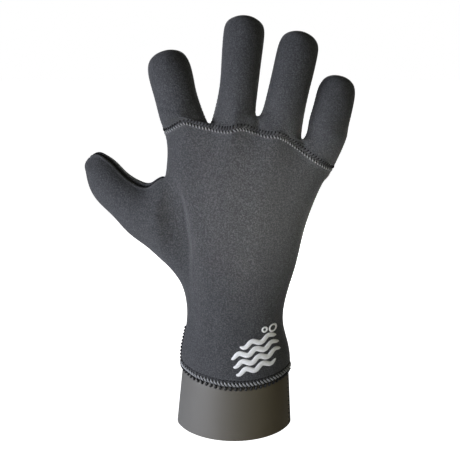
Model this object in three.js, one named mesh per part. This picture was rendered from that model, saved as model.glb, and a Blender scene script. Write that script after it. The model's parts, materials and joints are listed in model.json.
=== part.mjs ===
// A five-finger neoprene diving glove for the right hand, standing as it does when worn: fingers up,
// back of the hand towards -Y, thumb towards -X. The origin is the middle of the cuff's mouth.
//
// The glove is drawn as one smooth skin over a cage of four-sided faces: rings round the wrist and
// palm, a ring round each finger and the thumb, and a small web between neighbouring fingers. The
// cage is subdivided once, cut into the sewn panels along its own edges, and each panel is given the
// thickness of the neoprene.
import * as THREE from "three";

// Sizes in millimetres, over the outside of the glove
const NEOPRENE = 3;
const CUFF_SKIN = 2.5;
const SEAM_GAP = 0.3;
const CUFF_STEP = 0.8;
const CUFF_HEIGHT = 41;
const HEM_LIFT = 4;
const HEM_TILT = 1;
const RIM_WIDTH = 84.5;
const RIM_DEPTH = 63;
const RIM_EDGE = 0.6;
const WRIST_WIDTH = 68.5;
const WRIST_DEPTH = 51;
const HAND_LENGTH = 178;
const PALM_MOUND = 4;
const KNUCKLE_ARCH = 5;
const KNUCKLE_RIPPLE = 1.8;
const KNUCKLE_DROP = 22;
const FINGER_LENGTH = 67;
const FINGER_WIDTH = 27;
const FINGER_DEPTH = 25;
const FINGER_SET = 3;
const WEB_GAP = 3.2;
const WEB_TILT = 1;
const THUMB_LENGTH = 77;
const THUMB_WIDTH = 28;
const THUMB_DEPTH = 27;
const THUMB_ROLL = -24;

// The four fingers from the thumb's side. Widths, depths and lengths are shares of the sizes above.
// "step" is the way from the root before it in finger widths, and the first one's is from the middle
// line. "flare" is the share of the width left near the tip. "rise" is the height of the root over the
// knuckle line, and "web" that of the web after it, in shares of the finger length. "lean" tilts the
// finger to the side; it turns towards the palm by "curl" at the root and "bend" at the tip.
const FINGER_TABLE = {
  index: {
    wide: 1.03, deep: 1.04, flare: 1.03, long: 0.667, step: -1.338,
    rise: 0.113, web: 0.075, lean: -14, curl: 4, bend: 22,
  },
  middle: {
    wide: 0.92, deep: 1.02, flare: 1.08, long: 0.993, step: 1.37,
    rise: 0.12, web: 0.165, lean: 5.8, curl: 3, bend: 22,
  },
  ring: {
    wide: 0.99, deep: 1, flare: 1, long: 0.895, step: 1.142,
    rise: 0.17, web: 0.075, lean: 13.2, curl: 3, bend: 22,
  },
  little: {
    wide: 0.99, deep: 0.96, flare: 0.95, long: 0.635, step: 1.113,
    rise: 0.14, web: 0, lean: 13.6, curl: 4, bend: 22,
  },
};
const FINGERS = Object.values(FINGER_TABLE);

// Rings along a finger: "along" is the share of its straight shaft
const SHAFT = [
  { along: 0.3, flare: 0.2 },
  { along: 0.66, flare: 0.6 },
  { along: 1.0, flare: 1.0 },
];
const TIP = { shaft: 0.56, ring: 0.19, wide: 0.82 };

// Rings of the hand from the cuff's seam up. "at" is the share of the hand's length on the thumb's
// side, and "tilt" how much of the knuckles' drop the little finger's side hangs lower. "thumb" and
// "little" are the two sides' distances from the middle line, in shares of the wrist's width, "back"
// and "palm" the two depths in shares of the wrist's depth. "mound" and "knuckle" are shares of the
// palm's pads and of the knuckles' arch. "edge" is the power of the section's outline: 0.5 is an
// ellipse, more is a leaner edge at the sides and less a fuller one. "sag" is how much lower the
// palm's points lie, in shares of the finger length.
const HAND = [
  { at: 0, hem: 1, tilt: 0, thumb: -0.558, little: 0.593, back: 0.588, palm: 0.588,
    mound: 0, edge: 0.56, knuckle: 0, sag: 0 },
  { at: 0.1, hem: 0.6, tilt: 0, thumb: -0.545, little: 0.574, back: 0.555, palm: 0.555,
    mound: 0, edge: 0.54, knuckle: 0, sag: 0 },
  { at: 0.23, hem: 0.2, tilt: 0, thumb: -0.492, little: 0.508, back: 0.5, palm: 0.5,
    mound: 0.1, edge: 0.5, knuckle: 0, sag: 0 },
  { at: 0.385, hem: 0, tilt: 0.1, thumb: -0.555, little: 0.572, back: 0.47, palm: 0.5,
    mound: 0.5, edge: 0.47, knuckle: 0.15, sag: 0 },
  { at: 0.51, hem: 0, tilt: 0.36, thumb: -0.57, little: 0.64, back: 0.45, palm: 0.52,
    mound: 1, edge: 0.45, knuckle: 0.35, sag: 0 },
  { at: 0.67, hem: 0, tilt: 0.73, thumb: -0.6, little: 0.705, back: 0.43, palm: 0.5,
    mound: 1, edge: 0.44, knuckle: 0.6, sag: 0 },
  { at: 0.812, hem: 0, tilt: 1.05, thumb: -0.69, little: 0.785, back: 0.4, palm: 0.43,
    mound: 0.8, edge: 0.43, knuckle: 0.8, sag: 0.02 },
  { at: 0.91, hem: 0, tilt: 1.05, thumb: -0.668, little: 0.895, back: 0.37, palm: 0.37,
    mound: 0.5, edge: 0.43, knuckle: 0.9, sag: 0.06 },
];
const THUMB_ROWS = { first: 3, last: 6 };

// The seam over the knuckles: its ends and depths as in the rows above, and its height over the
// knuckle line in shares of the finger length
const SEAM = {
  thumb: -0.698, little: 0.988, back: 0.33, palm: 0.29,
  mound: 0.2, edge: 0.43, knuckle: 1, sag: 0.1,
};
const SEAM_ROW = [
  { across: -1.0, height: -0.06 },
  { across: -0.81, height: 0.058 },
  { across: -0.687, height: 0.07 },
  { across: -0.53, height: 0.012 },
  { across: -0.28, height: 0.0 },
  { across: -0.05, height: 0.033 },
  { across: 0.087, height: 0.0 },
  { across: 0.3, height: 0.04 },
  { across: 0.45, height: 0.022 },
  { across: 0.62, height: -0.035 },
  { across: 0.83, height: -0.085 },
  { across: 1.0, height: -0.115 },
];

// Rings of the thumb: place and turn of each, in shares of the thumb's length, width and depth
const THUMB = [
  { out: 0.158, up: 0.1, forward: 0.04, turn: 3, roll: 0.2, wide: 2.1, deep: 1.1 },
  { out: 0.266, up: 0.137, forward: 0.07, turn: 10, roll: 0.5, wide: 1.68, deep: 1.1 },
  { out: 0.377, up: 0.178, forward: 0.11, turn: 23, roll: 0.8, wide: 1.37, deep: 1.06 },
  { out: 0.494, up: 0.26, forward: 0.155, turn: 34, roll: 1.0, wide: 1.14, deep: 1.0 },
  { out: 0.612, up: 0.35, forward: 0.2, turn: 41, roll: 1.0, wide: 1.06, deep: 1.0 },
  { out: 0.703, up: 0.455, forward: 0.245, turn: 46, roll: 1.0, wide: 0.97, deep: 0.94 },
  { out: 0.768, up: 0.55, forward: 0.275, turn: 48, roll: 1.0, wide: 0.735, deep: 0.7 },
];
const THUMB_CROWN = { out: 0.822, up: 0.612, forward: 0.3, apart: 0.16 };

// The knuckle line is level from the thumb's side to "turn", a share across the hand, and then falls
// ever faster. The skin stands out by "knob" shares of the ripple at a knuckle and dips by one between
// two. The palm is hollow by "hollow" shares of its pads.
const KNUCKLE_LINE = { turn: -0.2, power: 1.5, knob: 0.5 };
const PALM = { hollow: 0.35 };

// Steps of the seam's curve and of a finger's centreline, and rounds of the cage's letting out and of
// the wall directions' evening
const CURVE_STEPS = 200;
const BEND_STEPS = 24;
const TIGHTENING = 8;
const EVENING = 2;

// Places in the rings of the hand, the fingers and the thumb
const LAST = FINGERS.length - 1;
const BACK_POINTS = 3 * FINGERS.length;
const LITTLE_SIDE = BACK_POINTS;
const THUMB_SIDE = 2 * BACK_POINTS + 1;
const RING = THUMB_SIDE + 1;
const FINGER_RING = 8;
const FINGER_START = -Math.PI / 4;
const THUMB_RING = 2 * (THUMB_ROWS.last - THUMB_ROWS.first + 2);
const PANELS = {
  back: "back_panel",
  fingerBacks: "finger_back_panel",
  palm: "palm_panel",
  fingerPalms: "finger_palm_panel",
  thumbPalm: "thumb_palm_panel",
  cuff: "cuff",
};

const radians = THREE.MathUtils.degToRad;
const mix = THREE.MathUtils.lerp;

// The cage: points and tagged four-sided faces, listed anticlockwise seen from outside
function newCage() {
  return { points: [], faces: [] };
}

function addPoint(cage, x, y, z) {
  cage.points.push(new THREE.Vector3(x, y, z));
  return cage.points.length - 1;
}

function addFace(cage, panel, ...corners) {
  cage.faces.push({ panel, corners });
}

// Where the fingers stand: the middles of their roots across the hand, and the span of all four
const ROOTS = FINGERS.map(((x) => (finger) => (x += finger.step * FINGER_WIDTH))(0));
const SPAN = [
  ROOTS[0] - 0.5 * FINGERS[0].wide * FINGER_WIDTH,
  ROOTS[LAST] + 0.5 * FINGERS[LAST].wide * FINGER_WIDTH,
];
const KNUCKLES = CUFF_HEIGHT + HAND_LENGTH;

// Share of the way across the hand, -1 on the thumb's side and 1 on the little finger's
const across = (x) => THREE.MathUtils.mapLinear(x, SPAN[0], SPAN[1], -1, 1);
const knuckleLine = (t) => {
  const beyond = Math.max(0, (t - KNUCKLE_LINE.turn) / (1 - KNUCKLE_LINE.turn));
  return KNUCKLES - KNUCKLE_DROP * beyond ** KNUCKLE_LINE.power;
};

// Shares across the hand of the twelve points on its back: three for each finger
const BACK_SHARES = ROOTS.flatMap((x, f) => {
  const half = 0.5 * FINGERS[f].wide * FINGER_WIDTH * Math.SQRT1_2;
  return [x - half, x, x + half].map(across);
});

// The knuckles stand out and the back dips between them
const RIPPLES = BACK_SHARES.map((_, k) => {
  if (k % 3 === 1) return -KNUCKLE_LINE.knob;
  return k === 0 || k === BACK_POINTS - 1 ? 0 : 1;
});

// The pads at the roots of the thumb and the little finger, and the hollow between them
const pads = (t) => {
  const hump = 0.5 * (1 - Math.cos(2 * Math.PI * Math.min(1, Math.abs(t))));
  return hump - PALM.hollow * (1 - t * t);
};

// One ring round the hand: back points from the thumb's side, little finger's side, palm points back
function handRing(row, height) {
  const [left, right] = [row.thumb * WRIST_WIDTH, row.little * WRIST_WIDTH];
  const [back, palm] = [row.back * WRIST_DEPTH, row.palm * WRIST_DEPTH];
  const bulge = (t) => (1 - t * t) ** row.edge;
  const x = (t) => mix(left, right, (t + 1) / 2);
  const arch = (t) => row.knuckle * KNUCKLE_ARCH * t * t;
  const ripple = (k) => row.knuckle ** 5 * KNUCKLE_RIPPLE * RIPPLES[k];
  const backRow = BACK_SHARES.map((t, k) => [x(t), arch(t) - back * bulge(t) + ripple(k), height(t)]);
  const palmRow = BACK_SHARES.map((t) => [
    x(t),
    arch(t) + palm * bulge(t) + row.mound * PALM_MOUND * pads(t),
    height(t) - row.sag * FINGER_LENGTH,
  ]).reverse();
  return [...backRow, [x(1), arch(1), height(1)], ...palmRow, [x(-1), arch(-1), height(-1)]];
}

// A level of the hand: flat at the wrist, and following the knuckles higher up
// The wrist seam climbs from the middle towards both sides, and a little more on the thumb's.
const hemLift = (t) => HEM_LIFT * t * t - HEM_TILT * t;

function handLevel(row) {
  const level = CUFF_HEIGHT + row.at * HAND_LENGTH;
  return (t) => level + row.hem * hemLift(t) - row.tilt * (KNUCKLES - knuckleLine(t));
}

// A smooth curve through the seam's table
const seamCurve = new THREE.CatmullRomCurve3(
  SEAM_ROW.map((row) => new THREE.Vector3(row.across, row.height, 0)),
  false,
  "centripetal",
);
const SEAM_SAMPLES = seamCurve.getPoints(CURVE_STEPS);

function seamHeight(t) {
  const next = SEAM_SAMPLES.findIndex((p) => p.x >= t);
  if (next <= 0) return SEAM_SAMPLES[next === 0 ? 0 : SEAM_SAMPLES.length - 1].y;
  const [a, b] = [SEAM_SAMPLES[next - 1], SEAM_SAMPLES[next]];
  return mix(a.y, b.y, (t - a.x) / (b.x - a.x));
}

const seamLevel = (t) => knuckleLine(t) + seamHeight(t) * FINGER_LENGTH;

// Points of a finger or thumb ring, from its back corner round by the far side to the palm
function limbRing(centre, side, back, halfWidth, halfDepth, count, first) {
  const step = (2 * Math.PI) / count;
  return Array.from({ length: count }, (_, k) => {
    const angle = first + k * step;
    return centre
      .clone()
      .addScaledVector(side, halfWidth * Math.sin(angle))
      .addScaledVector(back, halfDepth * Math.cos(angle));
  });
}

// The bent centreline of a finger: frames at distances along it
function fingerFrames(finger, root) {
  const lean = radians(finger.lean);
  const length = finger.long * FINGER_LENGTH;
  const turn = (s) => radians(mix(finger.curl, finger.bend, s / length));
  const heading = (s) => {
    const reach = Math.cos(turn(s));
    return new THREE.Vector3(Math.sin(lean) * reach, Math.sin(turn(s)), Math.cos(lean) * reach);
  };
  return (s) => {
    const centre = root.clone();
    for (let k = 0; k < BEND_STEPS; k++)
      centre.addScaledVector(heading(((k + 0.5) * s) / BEND_STEPS), s / BEND_STEPS);
    const side = new THREE.Vector3(Math.cos(lean), 0, -Math.sin(lean));
    return { centre, side, back: side.clone().cross(heading(s)), heading: heading(s) };
  };
}

// Joins two rings of equal length with faces. The first ring lies nearer the wrist.
function joinRings(cage, lower, upper, panelOf) {
  const n = lower.length;
  for (let k = 0; k < n; k++)
    addFace(cage, panelOf(k), lower[k], lower[(k + 1) % n], upper[(k + 1) % n], upper[k]);
}

function addRing(cage, ring) {
  return ring.map((p) => (Array.isArray(p) ? addPoint(cage, ...p) : addPoint(cage, p.x, p.y, p.z)));
}

const onBack = (column) => column < LITTLE_SIDE || column === THUMB_SIDE;

// Finger ring columns: three back points, far side, three palm points, near side
const fingerPanel = (k) => (k < 3 || k === FINGER_RING - 1 ? PANELS.fingerBacks : PANELS.fingerPalms);

function addFinger(cage, finger, base, frames) {
  const length = finger.long * FINGER_LENGTH;
  const width = finger.wide * FINGER_WIDTH;
  const depth = finger.deep * FINGER_DEPTH;
  const shaft = length - TIP.shaft * width;
  const stations = [
    ...SHAFT.map((row) => ({ s: row.along * shaft, wide: mix(1, finger.flare, row.flare) })),
    { s: length - TIP.ring * width, wide: TIP.wide * finger.flare },
  ];
  let lower = base;
  for (const { s, wide } of stations) {
    const { centre, side, back } = frames(s);
    const [halfWidth, halfDepth] = [(wide * width) / 2, (wide * depth) / 2];
    const ring = limbRing(centre, side, back, halfWidth, halfDepth, FINGER_RING, FINGER_START);
    const upper = addRing(cage, ring);
    joinRings(cage, lower, upper, fingerPanel);
    lower = upper;
  }
  const crown = frames(length).centre;
  const top = addPoint(cage, crown.x, crown.y, crown.z);
  const [b0, b1, b2, far, p2, p1, p0, near] = lower;
  addFace(cage, PANELS.fingerBacks, b0, b1, top, near);
  addFace(cage, PANELS.fingerBacks, b1, b2, far, top);
  addFace(cage, PANELS.fingerPalms, near, top, p1, p0);
  addFace(cage, PANELS.fingerPalms, top, far, p2, p1);
}

// The row of rings at the fingers' roots, with a web between each pair
function addRoots(cage) {
  const roots = FINGERS.map((finger, f) => {
    const x = ROOTS[f];
    const t = across(x);
    const height = knuckleLine(t) + finger.rise * FINGER_LENGTH;
    return new THREE.Vector3(x, KNUCKLE_ARCH * t * t - FINGER_SET, height);
  });
  const frames = FINGERS.map((finger, f) => fingerFrames(finger, roots[f]));
  const rings = FINGERS.map((finger, f) => {
    const { centre, side, back } = frames[f](0);
    const [halfWidth, halfDepth] = [(finger.wide * FINGER_WIDTH) / 2, (finger.deep * FINGER_DEPTH) / 2];
    return limbRing(centre, side, back, halfWidth, halfDepth, FINGER_RING, FINGER_START);
  });
  for (let f = 0; f < LAST; f++) {
    const [a, b] = [rings[f], rings[f + 1]];
    const middle = a[3].clone().lerp(b[7], 0.5);
    middle.z = knuckleLine(across(middle.x)) + FINGERS[f].web * FINGER_LENGTH;
    a[3].copy(middle).setX(middle.x - WEB_GAP / 2);
    b[7].copy(middle).setX(middle.x + WEB_GAP / 2);
    for (const p of [a[2], b[0]]) p.z = middle.z + WEB_TILT;
    for (const p of [a[4], b[6]]) p.z = middle.z - WEB_TILT;
  }
  return { rings: rings.map((ring) => addRing(cage, ring)), frames };
}

// The whole hand: rings from the cuff's seam to the knuckles, the fingers and the thumb
function handCage() {
  const cage = newCage();
  const rows = HAND.map((row) => addRing(cage, handRing(row, handLevel(row))));
  rows.push(addRing(cage, handRing(SEAM, seamLevel)));
  const { rings, frames } = addRoots(cage);
  const top = new Array(RING);
  rings.forEach((ring, f) => {
    for (let k = 0; k < 3; k++) {
      top[3 * f + k] = ring[k];
      top[2 * BACK_POINTS - (3 * f + k)] = ring[6 - k];
    }
  });
  top[LITTLE_SIDE] = rings[LAST][3];
  top[THUMB_SIDE] = rings[0][7];

  const inThumb = (row, column) =>
    row >= THUMB_ROWS.first && row < THUMB_ROWS.last && [THUMB_SIDE - 1, THUMB_SIDE].includes(column);
  rows.forEach((lower, row) => {
    const upper = rows[row + 1] ?? top;
    const atFingers = row === rows.length - 1;
    const backPanel = atFingers ? PANELS.fingerBacks : PANELS.back;
    const palmPanel = atFingers ? PANELS.fingerPalms : PANELS.palm;
    for (let k = 0; k < RING; k++) {
      if (inThumb(row, k)) continue;
      const next = (k + 1) % RING;
      addFace(cage, onBack(k) ? backPanel : palmPanel, lower[k], lower[next], upper[next], upper[k]);
    }
  });

  for (let f = 0; f < LAST; f++) {
    const [a, b] = [rings[f], rings[f + 1]];
    addFace(cage, PANELS.fingerBacks, a[2], b[0], b[7], a[3]);
    addFace(cage, PANELS.fingerPalms, a[3], b[7], b[6], a[4]);
  }
  FINGERS.forEach((finger, f) => addFinger(cage, finger, rings[f], frames[f]));
  addThumb(cage, rows);
  return cage;
}

// The thumb grows out of a patch on the hand's side, and turns forward and up
function addThumb(cage, rows) {
  const { first, last } = THUMB_ROWS;
  const span = Array.from({ length: last - first + 1 }, (_, k) => first + k);
  const base = [
    ...span.map((row) => rows[row][0]),
    rows[last][THUMB_SIDE],
    ...span.toReversed().map((row) => rows[row][THUMB_SIDE - 1]),
    rows[first][THUMB_SIDE],
  ];
  const root = average(base.map((k) => cage.points[k]));
  const backCount = span.length;
  const panelOf = (k) => (k < backCount || k === THUMB_RING - 1 ? PANELS.back : PANELS.thumbPalm);
  const place = ({ out, forward, up }) =>
    new THREE.Vector3(-out, forward, up).multiplyScalar(THUMB_LENGTH).add(root);
  const back = new THREE.Vector3(0, -1, 0);
  const side = new THREE.Vector3();
  let lower = base;
  for (const row of THUMB) {
    const turn = radians(row.turn);
    side.set(Math.sin(turn), 0, Math.cos(turn));
    const [halfWidth, halfDepth] = [(row.wide * THUMB_WIDTH) / 2, (row.deep * THUMB_DEPTH) / 2];
    const start = radians((-(backCount - 1) * 180) / THUMB_RING + row.roll * THUMB_ROLL);
    const ring = limbRing(place(row), side, back, halfWidth, halfDepth, THUMB_RING, start);
    const upper = addRing(cage, ring);
    joinRings(cage, lower, upper, panelOf);
    lower = upper;
  }
  capThumb(cage, lower, place(THUMB_CROWN), side, backCount);
}

// Closes the thumb's last ring with a small grid of six faces
function capThumb(cage, ring, crown, side, backCount) {
  const [inner, outer] = [-1, 1].map((sign) => {
    const p = crown.clone().addScaledVector(side, sign * THUMB_CROWN.apart * THUMB_WIDTH);
    return addPoint(cage, p.x, p.y, p.z);
  });
  const backRow = ring.slice(0, backCount);
  const far = ring[backCount];
  const palmRow = ring.slice(backCount + 1, THUMB_RING - 1).toReversed();
  const near = ring[THUMB_RING - 1];
  const middle = [near, inner, outer, far];
  for (let k = 0; k < backCount - 1; k++) {
    addFace(cage, PANELS.back, backRow[k], backRow[k + 1], middle[k + 1], middle[k]);
    addFace(cage, PANELS.thumbPalm, middle[k], middle[k + 1], palmRow[k + 1], palmRow[k]);
  }
}

// The cuff: a plain tube from its rim to the seam, a little smaller than the panels above it
function cuffCage() {
  const cage = newCage();
  const top = HAND[0];
  const [stepX, stepY] = [CUFF_STEP / WRIST_WIDTH, CUFF_STEP / WRIST_DEPTH];
  const half = RIM_WIDTH / 2 / WRIST_WIDTH;
  const deep = RIM_DEPTH / 2 / WRIST_DEPTH;
  const rows = [0, 0.5, 1].map((share) => {
    const row = {
      ...top,
      edge: mix(RIM_EDGE, top.edge, share),
      thumb: mix(-half, top.thumb + stepX, share),
      little: mix(half, top.little - stepX, share),
      back: mix(deep, top.back - stepY, share),
      palm: mix(deep, top.palm - stepY, share),
    };
    const height = (t) => share * (CUFF_HEIGHT + hemLift(t) - SEAM_GAP / 2);
    return addRing(cage, handRing(row, height));
  });
  rows.slice(1).forEach((upper, k) => joinRings(cage, rows[k], upper, () => PANELS.cuff));
  return cage;
}

const edgeKey = (a, b) => (a < b ? `${a},${b}` : `${b},${a}`);

// Edges of a cage, each with the faces on it
function edgesOf(cage) {
  const edges = new Map();
  cage.faces.forEach(({ corners }, f) => {
    corners.forEach((a, k) => {
      const b = corners[(k + 1) % corners.length];
      const key = edgeKey(a, b);
      if (!edges.has(key)) edges.set(key, { ends: [a, b], faces: [] });
      edges.get(key).faces.push(f);
    });
  });
  return edges;
}

const average = (points) =>
  points.reduce((sum, p) => sum.add(p), new THREE.Vector3()).divideScalar(points.length);

// One round of Catmull-Clark subdivision. Open edges become smooth curves of their own. The cage's own
// points keep their numbers.
function subdivide(cage) {
  const finer = newCage();
  const edges = edgesOf(cage);
  const centres = cage.faces.map(({ corners }) => average(corners.map((k) => cage.points[k])));
  const around = cage.points.map(() => ({ centres: [], middles: [], rim: [] }));
  cage.faces.forEach(({ corners }, f) => corners.forEach((k) => around[k].centres.push(centres[f])));
  for (const { ends, faces } of edges.values()) {
    const middle = average(ends.map((k) => cage.points[k]));
    ends.forEach((k) => around[k].middles.push(middle));
    if (faces.length === 1) ends.forEach((k) => around[k].rim.push(middle));
  }
  cage.points.forEach((p, k) => {
    const { centres: faces, middles, rim } = around[k];
    const n = faces.length;
    const moved = rim.length
      ? average(rim).add(p).multiplyScalar(0.5)
      : average(faces).addScaledVector(average(middles), 2).addScaledVector(p, n - 3).divideScalar(n);
    addPoint(finer, moved.x, moved.y, moved.z);
  });
  const edgePoint = new Map();
  for (const [key, { ends, faces }] of edges) {
    const corners = ends.map((k) => cage.points[k]);
    const point = average(faces.length === 1 ? corners : [...corners, ...faces.map((f) => centres[f])]);
    edgePoint.set(key, addPoint(finer, point.x, point.y, point.z));
  }
  cage.faces.forEach(({ panel, corners }, f) => {
    const middle = addPoint(finer, centres[f].x, centres[f].y, centres[f].z);
    const sides = corners.map((a, k) => edgePoint.get(edgeKey(a, corners[(k + 1) % 4])));
    corners.forEach((corner, k) => addFace(finer, panel, corner, sides[k], middle, sides[(k + 3) % 4]));
  });
  return finer;
}

// Moves every point of a four-sided cage onto the smooth surface that more rounds would reach
function settle(cage) {
  const edges = edgesOf(cage);
  const around = cage.points.map(() => ({
    sides: new THREE.Vector3(),
    corners: new THREE.Vector3(),
    n: 0,
    rim: [],
  }));
  for (const { ends, faces } of edges.values()) {
    const [a, b] = ends;
    around[a].sides.add(cage.points[b]);
    around[b].sides.add(cage.points[a]);
    if (faces.length === 1) {
      around[a].rim.push(cage.points[b]);
      around[b].rim.push(cage.points[a]);
    }
  }
  for (const { corners } of cage.faces)
    corners.forEach((k, place) => {
      around[k].corners.add(cage.points[corners[(place + 2) % 4]]);
      around[k].n += 1;
    });
  const points = cage.points.map((p, k) => {
    const { sides, corners, n, rim } = around[k];
    if (rim.length) return average(rim).multiplyScalar(2).addScaledVector(p, 4).divideScalar(6);
    return p
      .clone()
      .multiplyScalar(n * n)
      .addScaledVector(sides, 4)
      .add(corners)
      .divideScalar(n * (n + 5));
  });
  return { points, faces: cage.faces };
}

// Outward directions at the points, evened out with their neighbours so that a wall can follow tight
// folds
function normalsOf(surface) {
  const blank = () => surface.points.map(() => new THREE.Vector3());
  let normals = blank();
  for (const { corners } of surface.faces) {
    const [a, b, c, d] = corners.map((k) => surface.points[k]);
    const normal = c.clone().sub(a).cross(d.clone().sub(b)).normalize();
    corners.forEach((k) => normals[k].add(normal));
  }
  for (let round = 0; round < EVENING; round++) {
    const evened = blank();
    for (const { corners } of surface.faces) {
      const mean = average(corners.map((k) => normals[k])).normalize();
      corners.forEach((k) => evened[k].add(mean));
    }
    normals = evened.map((n) => n.normalize());
  }
  return normals.map((n) => n.normalize());
}

// One panel as a closed solid: outer face, inner face a wall's thickness below it, and its cut edges
function panelGeometry(surface, normals, panel, wall) {
  const faces = surface.faces.filter((face) => face.panel === panel).map((face) => face.corners);
  const directed = new Set(faces.flatMap((c) => c.map((a, k) => `${a},${c[(k + 1) % 4]}`)));
  const rim = faces.flatMap((c) =>
    c.map((a, k) => [a, c[(k + 1) % 4]]).filter(([a, b]) => !directed.has(`${b},${a}`)),
  );
  const inward = new Map();
  for (const [a, b] of rim)
    for (const k of [a, b]) {
      const along = surface.points[b].clone().sub(surface.points[a]);
      const left = normals[k].clone().cross(along).normalize();
      inward.set(k, [...(inward.get(k) ?? []), left]);
    }
  const used = [...new Set(faces.flat())];
  const place = new Map(used.map((k, index) => [k, index]));
  const outer = used.map((k) => {
    const point = surface.points[k].clone();
    const lefts = inward.get(k);
    if (lefts) {
      const share = SEAM_GAP / 2 / (1 + lefts[0].dot(lefts[1]));
      point.addScaledVector(lefts[0], share).addScaledVector(lefts[1], share);
    }
    return point;
  });
  const inner = used.map((k, index) => outer[index].clone().addScaledVector(normals[k], -wall));
  const triangles = [];
  const depth = used.length;
  for (const corners of faces) {
    const [a, b, c, d] = corners.map((k) => place.get(k));
    triangles.push(a, b, c, a, c, d);
    triangles.push(a + depth, c + depth, b + depth, a + depth, d + depth, c + depth);
  }
  for (const [from, to] of rim) {
    const [a, b] = [place.get(from), place.get(to)];
    if (from < to) triangles.push(a, a + depth, b + depth, a, b + depth, b);
    else triangles.push(a, a + depth, b, b, a + depth, b + depth);
  }
  const geometry = new THREE.BufferGeometry().setFromPoints([...outer, ...inner]);
  geometry.setIndex(triangles);
  geometry.computeVertexNormals();
  return geometry;
}

// Drops the points no face uses
function tidied(cage) {
  const used = [...new Set(cage.faces.flatMap((face) => face.corners))];
  const place = new Map(used.map((k, index) => [k, index]));
  const faces = cage.faces.map((face) => ({ ...face, corners: face.corners.map((k) => place.get(k)) }));
  return { points: used.map((k) => cage.points[k]), faces };
}

// A smooth surface runs inside its cage, so the cage is let out until the surface comes near the points
// it was drawn with.
function smoothSurface(drawn) {
  const cage = tidied(drawn);
  const goals = cage.points.map((p) => p.clone());
  for (let round = 0; round < TIGHTENING; round++) {
    const reached = settle(subdivide(cage)).points;
    cage.points.forEach((p, k) => p.add(goals[k]).sub(reached[k]));
  }
  const surface = settle(subdivide(cage));
  return { surface, normals: normalsOf(surface) };
}

function panelMesh({ surface, normals }, panel, wall, material) {
  const mesh = new THREE.Mesh(panelGeometry(surface, normals, panel, wall), material);
  mesh.name = panel;
  return mesh;
}

// Knit nylon over neoprene for the hand, bare smooth neoprene for the cuff
const knit = new THREE.MeshStandardMaterial({ color: 0x54565b, roughness: 0.85, metalness: 0 });
const smoothSkin = new THREE.MeshStandardMaterial({ color: 0x5c5850, roughness: 0.5, metalness: 0 });

const hand = smoothSurface(handCage());
const cuff = smoothSurface(cuffCage());

const glove = new THREE.Group();
glove.name = "diving_glove";
for (const panel of [PANELS.back, PANELS.fingerBacks, PANELS.palm, PANELS.fingerPalms, PANELS.thumbPalm])
  glove.add(panelMesh(hand, panel, NEOPRENE, knit));
glove.add(panelMesh(cuff, PANELS.cuff, CUFF_SKIN, smoothSkin));

export default glove;
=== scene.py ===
# %% [markdown]
# A diving glove
#
# This lesson builds a right-hand neoprene diving glove: five sewn panels of knit-faced foam, their seams
# and stitches, a smooth rubber cuff and a white print on the wrist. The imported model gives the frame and
# the size. Every length is in metres, with the fingers up (+Z), the back of the hand towards -Y and the
# thumb towards -X.

# %% Load the frame
import bpy
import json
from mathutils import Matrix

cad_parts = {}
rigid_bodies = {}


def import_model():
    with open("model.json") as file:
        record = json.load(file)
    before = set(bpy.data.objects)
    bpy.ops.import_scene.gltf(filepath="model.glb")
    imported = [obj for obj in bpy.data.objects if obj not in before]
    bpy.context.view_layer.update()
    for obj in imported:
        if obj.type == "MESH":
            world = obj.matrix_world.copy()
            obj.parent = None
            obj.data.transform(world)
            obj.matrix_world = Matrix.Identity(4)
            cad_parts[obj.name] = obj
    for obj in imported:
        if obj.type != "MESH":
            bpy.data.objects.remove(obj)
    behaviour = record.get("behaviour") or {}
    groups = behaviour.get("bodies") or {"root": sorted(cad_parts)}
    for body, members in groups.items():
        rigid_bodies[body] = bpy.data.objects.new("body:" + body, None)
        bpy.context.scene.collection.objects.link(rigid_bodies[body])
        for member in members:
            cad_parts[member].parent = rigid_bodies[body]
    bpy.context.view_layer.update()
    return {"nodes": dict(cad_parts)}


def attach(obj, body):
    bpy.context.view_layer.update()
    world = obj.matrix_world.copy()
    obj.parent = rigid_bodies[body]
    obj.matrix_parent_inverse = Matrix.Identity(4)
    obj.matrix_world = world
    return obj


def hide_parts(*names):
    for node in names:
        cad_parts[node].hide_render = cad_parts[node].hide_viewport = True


for leftover in list(bpy.data.objects):
    bpy.data.objects.remove(leftover)
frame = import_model()

import json
import math

import numpy as np
from mathutils import Vector
from mathutils.bvhtree import BVHTree
from mathutils.kdtree import KDTree

print("nodes:", sorted(frame["nodes"]))

# %% [markdown]
# The drawn sizes
#
# A glove's skin is one continuous form, and its seams only divide it. It could be sculpted, or lofted
# finger by finger, but the joins between lofts always show. Here it is a cage of four-sided faces that a
# subdivision surface turns into one smooth skin: rings round the wrist and palm, a ring round each finger
# and the thumb, and a small web between neighbouring fingers. The tables hold the same rings as the
# solids of the frame, in shares of a few named lengths.

# %% Named lengths
CUFF_HEIGHT = 0.041
HEM_LIFT, HEM_TILT = 0.004, 0.001
RIM_WIDTH, RIM_DEPTH, RIM_EDGE = 0.0845, 0.063, 0.6
CUFF_STEP = 0.0008
WRIST_WIDTH, WRIST_DEPTH = 0.0685, 0.051
HAND_LENGTH = 0.178
PALM_MOUND, PALM_HOLLOW = 0.004, 0.35
KNUCKLE_ARCH, KNUCKLE_RIPPLE, KNUCKLE_KNOB = 0.005, 0.0018, 0.5
KNUCKLE_DROP, KNUCKLE_TURN, KNUCKLE_POWER = 0.022, -0.2, 1.5
FINGER_LENGTH, FINGER_WIDTH, FINGER_DEPTH = 0.067, 0.027, 0.025
FINGER_SET = 0.003
WEB_GAP, WEB_TILT = 0.0032, 0.001
THUMB_LENGTH, THUMB_WIDTH, THUMB_DEPTH = 0.077, 0.028, 0.027
THUMB_ROLL = -24
NEOPRENE, CUFF_SKIN = 0.003, 0.0025
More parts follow.
